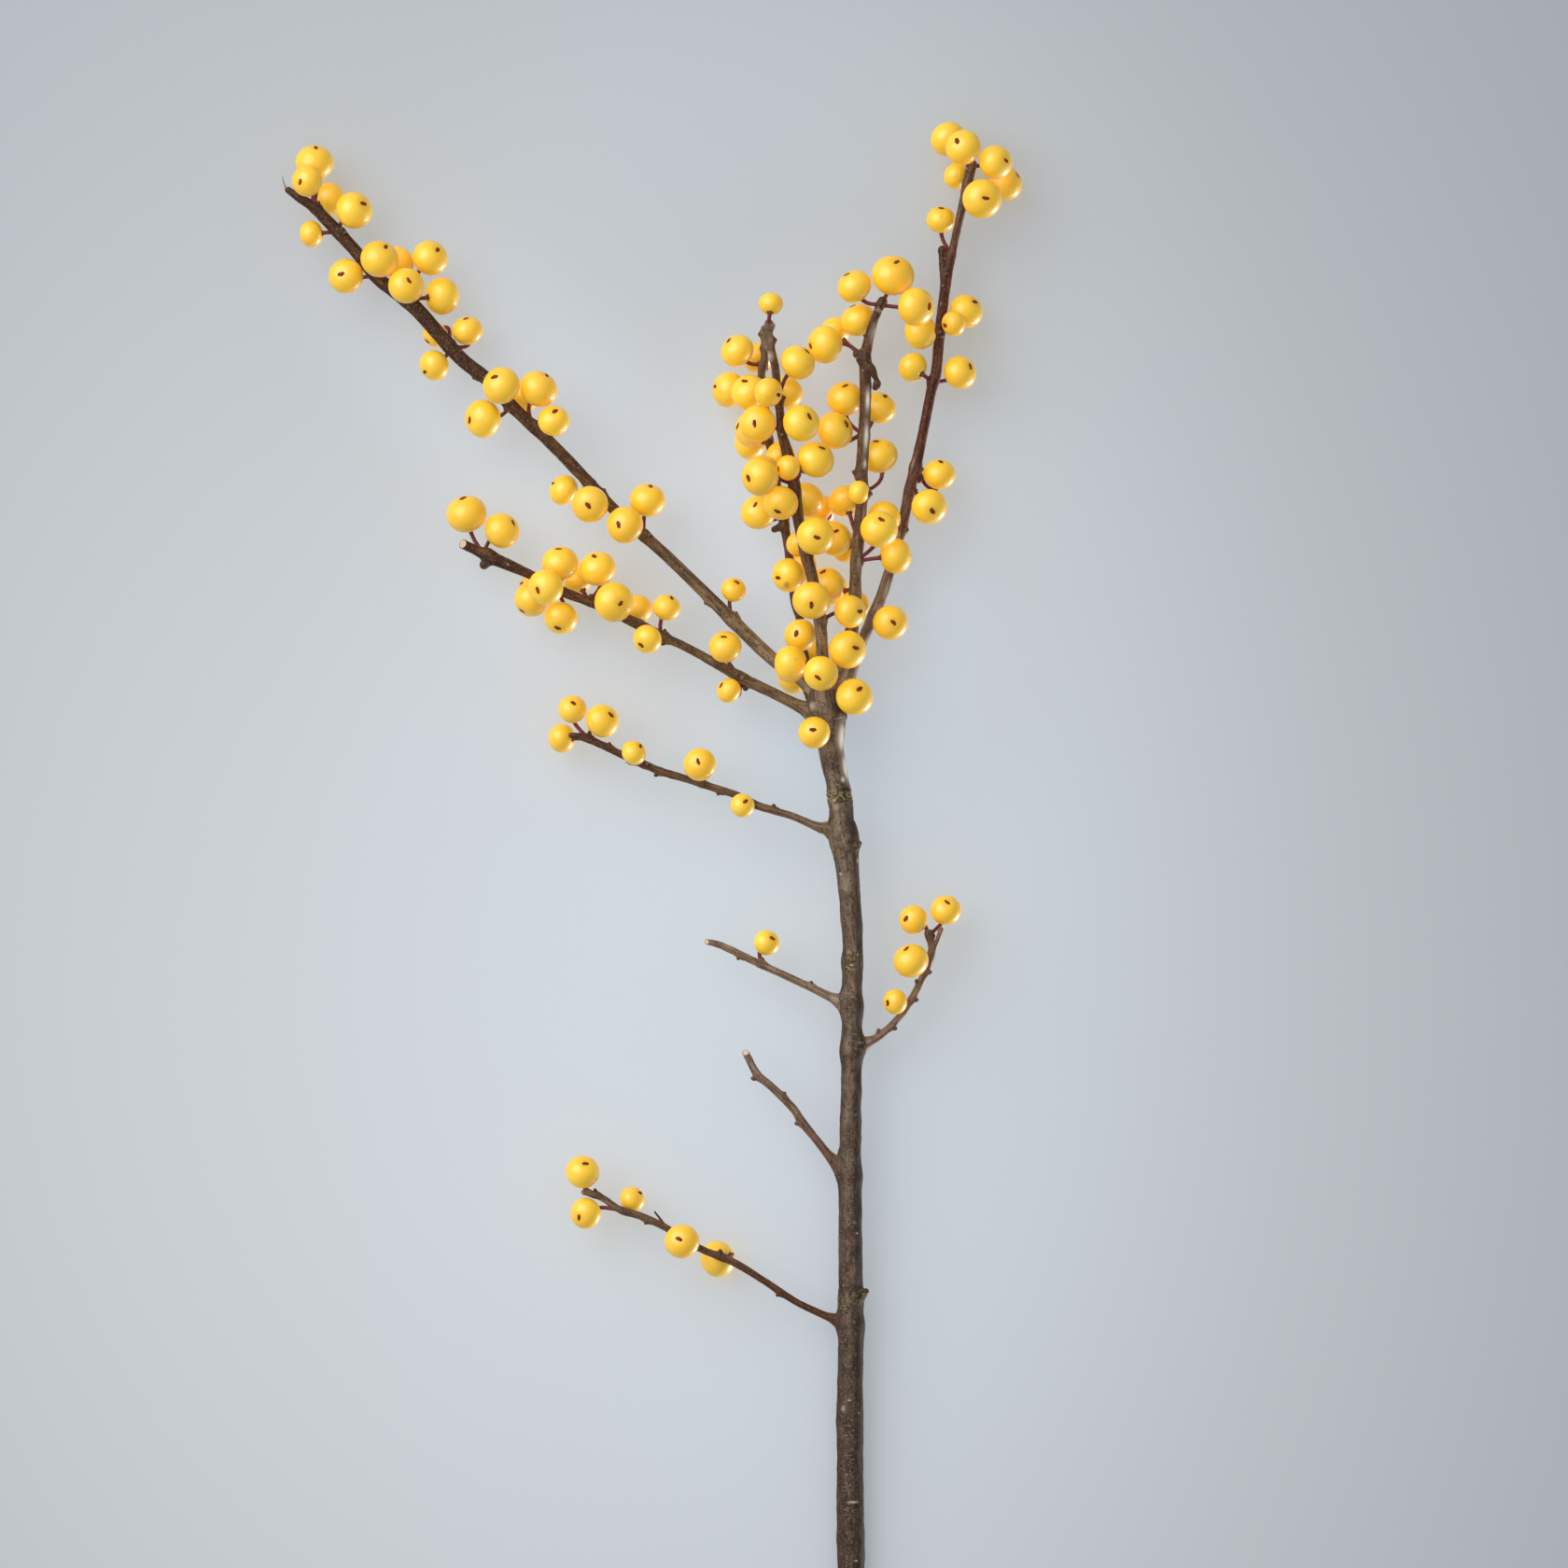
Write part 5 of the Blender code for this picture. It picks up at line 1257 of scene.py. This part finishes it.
def make_woods(surfaces, berries):
    """All the wood with its knots, marks, pores and ends."""
    woods = grow_woods()
    stem = woods[0]
    for x, y, long, wide, height, *tones in STEM_MARKS:
        i = stem.nearest(0.0, y)
        if x is None:
            stem.bump(stem.reach[i], None, long, None, height, *tones)
        else:
            stem.mark(stem.centres[i][0] + x, y, long, wide, height, *tones)
    for wood in woods:
        if wood is stem or wood.is_branch:
            wood.add_knots(surfaces[wood.node], berries)
            wood.add_pores(*(STEM_PORES if wood is stem else TWIG_PORES))
        if wood.is_branch:
            for x, y, long, wide, *tones in BRANCH_MARKS.get(wood.node, ()):
                wood.mark(x, y, long, wide, MARK_HEIGHT, *tones)
            for x, y, size, height, pale, dark in KNOBS.get(wood.node, ()):
                wood.mark(x, y, size, size, height, pale, dark, KNOB_ROUGH)
        elif wood.node.startswith("spray"):
            wood.rough += SPUR_ROUGH
            wood.dark += SPUR_DARK
        wood.roughen(*(STEM_RELIEF if wood is stem else TWIG_RELIEF))
    join_woods(woods)
    foot = stem.points[..., 1] - ROUTES["main_stem"][0][1]
    stem.points[..., 1] += stem.points[..., 2] * FOOT_SLANT * np.clip(1 - foot / FOOT_FADE, 0, 1)
    for wood in woods:
        cut_tip = wood.node in CUT_TIPS and wood.is_branch
        if cut_tip:
            share = np.clip(1 - (wood.reach[-1] - wood.reach) / TIP_FADE, 0, 1)[:, None]
            height = (wood.points - wood.centres[:, None]) @ wood.up[-1]
            wood.points -= wood.forward[-1] * (height * share * TIP_SLANT)[..., None]
        wood.add_to(surfaces[wood.node], wood is stem, cut_tip)


def make_sprig():
    """The wood, the stalks and the fruit of every node."""
    berries = place_berries()
    surfaces = {node: Surface() for node in ROUTES}
    make_woods(surfaces, berries)
    radii = np.linspace(*WISP_RADII, len(WISP))
    add_tube(surfaces["spray_left_upper"], np.array(WISP), radii, WISP_SIDES, pale=0.6)
    bark = bark_finish()
    cut, stalk, scar, calyx = (mottled_finish(name, *row) for name, row in MOTTLED.items())
    skin = skin_finish()
    for node, surface in surfaces.items():
        surface.piece("wood_" + node, node, "bark", bark, cut)
        own = [berry for berry in berries if berry.node == node]
        if own:
            stalks, skins = Surface(), Surface()
            for berry in own:
                near = [b for b in berries if (b.centre - berry.centre).length < NEAR_FRUIT]
                add_stalk(stalks, berry, near)
                add_berry(skins, berry, berries.index(berry))
            stalks.piece("stalks_" + node, node, "bark", stalk)
            skins.piece("berries_" + node, node, "berry", skin, scar, calyx)


def add_light(name, place, size, power, tint, shadows):
    """An area light turned to the sprig's middle and unseen by the camera."""
    light = bpy.data.lights.new(name, "AREA")
    light.shape = "RECTANGLE"
    light.size, light.size_y = size
    light.energy = power
    light.color = tint
    light.use_shadow = shadows
    light.cycles.use_multiple_importance_sampling = shadows
    holder = put(bpy.data.objects.new(name, light))
    holder.location = place
    holder.rotation_euler = (Vector(LIT_MIDDLE) - Vector(place)).to_track_quat("-Z", "Y").to_euler()
    holder.visible_camera = False


def make_world():
    """A soft sky, brightest towards the upper left and dimmest opposite."""
    sky = Finish("studio", bpy.data.worlds, "Background")
    towards = sky.node(
        "VectorMath", {0: sky.node("TexCoord"), 1: Vector(SKY_TOWARDS).normalized()}, "Value",
        operation="DOT_PRODUCT",
    )
    weakest, strongest = SKY_STRENGTH
    strength = sky.steps(towards, *SKY_RANGE, strongest, weakest)
    bpy.context.scene.world = sky.set(color=SKY_TINT, strength=strength)


def make_stage():
    """The pale floor, the soft lights and the camera straight above."""
    mesh = bpy.data.meshes.new("floor")
    corners = [(x * FLOOR_HALF, y * FLOOR_HALF, 0) for x, y in ((-1, -1), (1, -1), (1, 1), (-1, 1))]
    mesh.from_pydata(corners, [], [(0, 1, 2, 3)])
    mesh.materials.append(floor_finish())
    floor = put(bpy.data.objects.new("floor", mesh))
    floor.visible_shadow = False

    make_world()
    for name, row in LIGHTS.items():
        add_light(name, *row)

    camera = bpy.data.cameras.new("camera")
    camera.lens = CAMERA_HEIGHT * camera.sensor_width / VIEW_WIDTH
    camera.clip_end = 50.0
    holder = put(bpy.data.objects.new("camera", camera))
    holder.location = (*VIEW_MIDDLE, CAMERA_HEIGHT + CAMERA_RISE)
    bpy.context.scene.camera = holder
    bpy.context.scene.view_settings.view_transform = "Standard"


make_sprig()
make_stage()
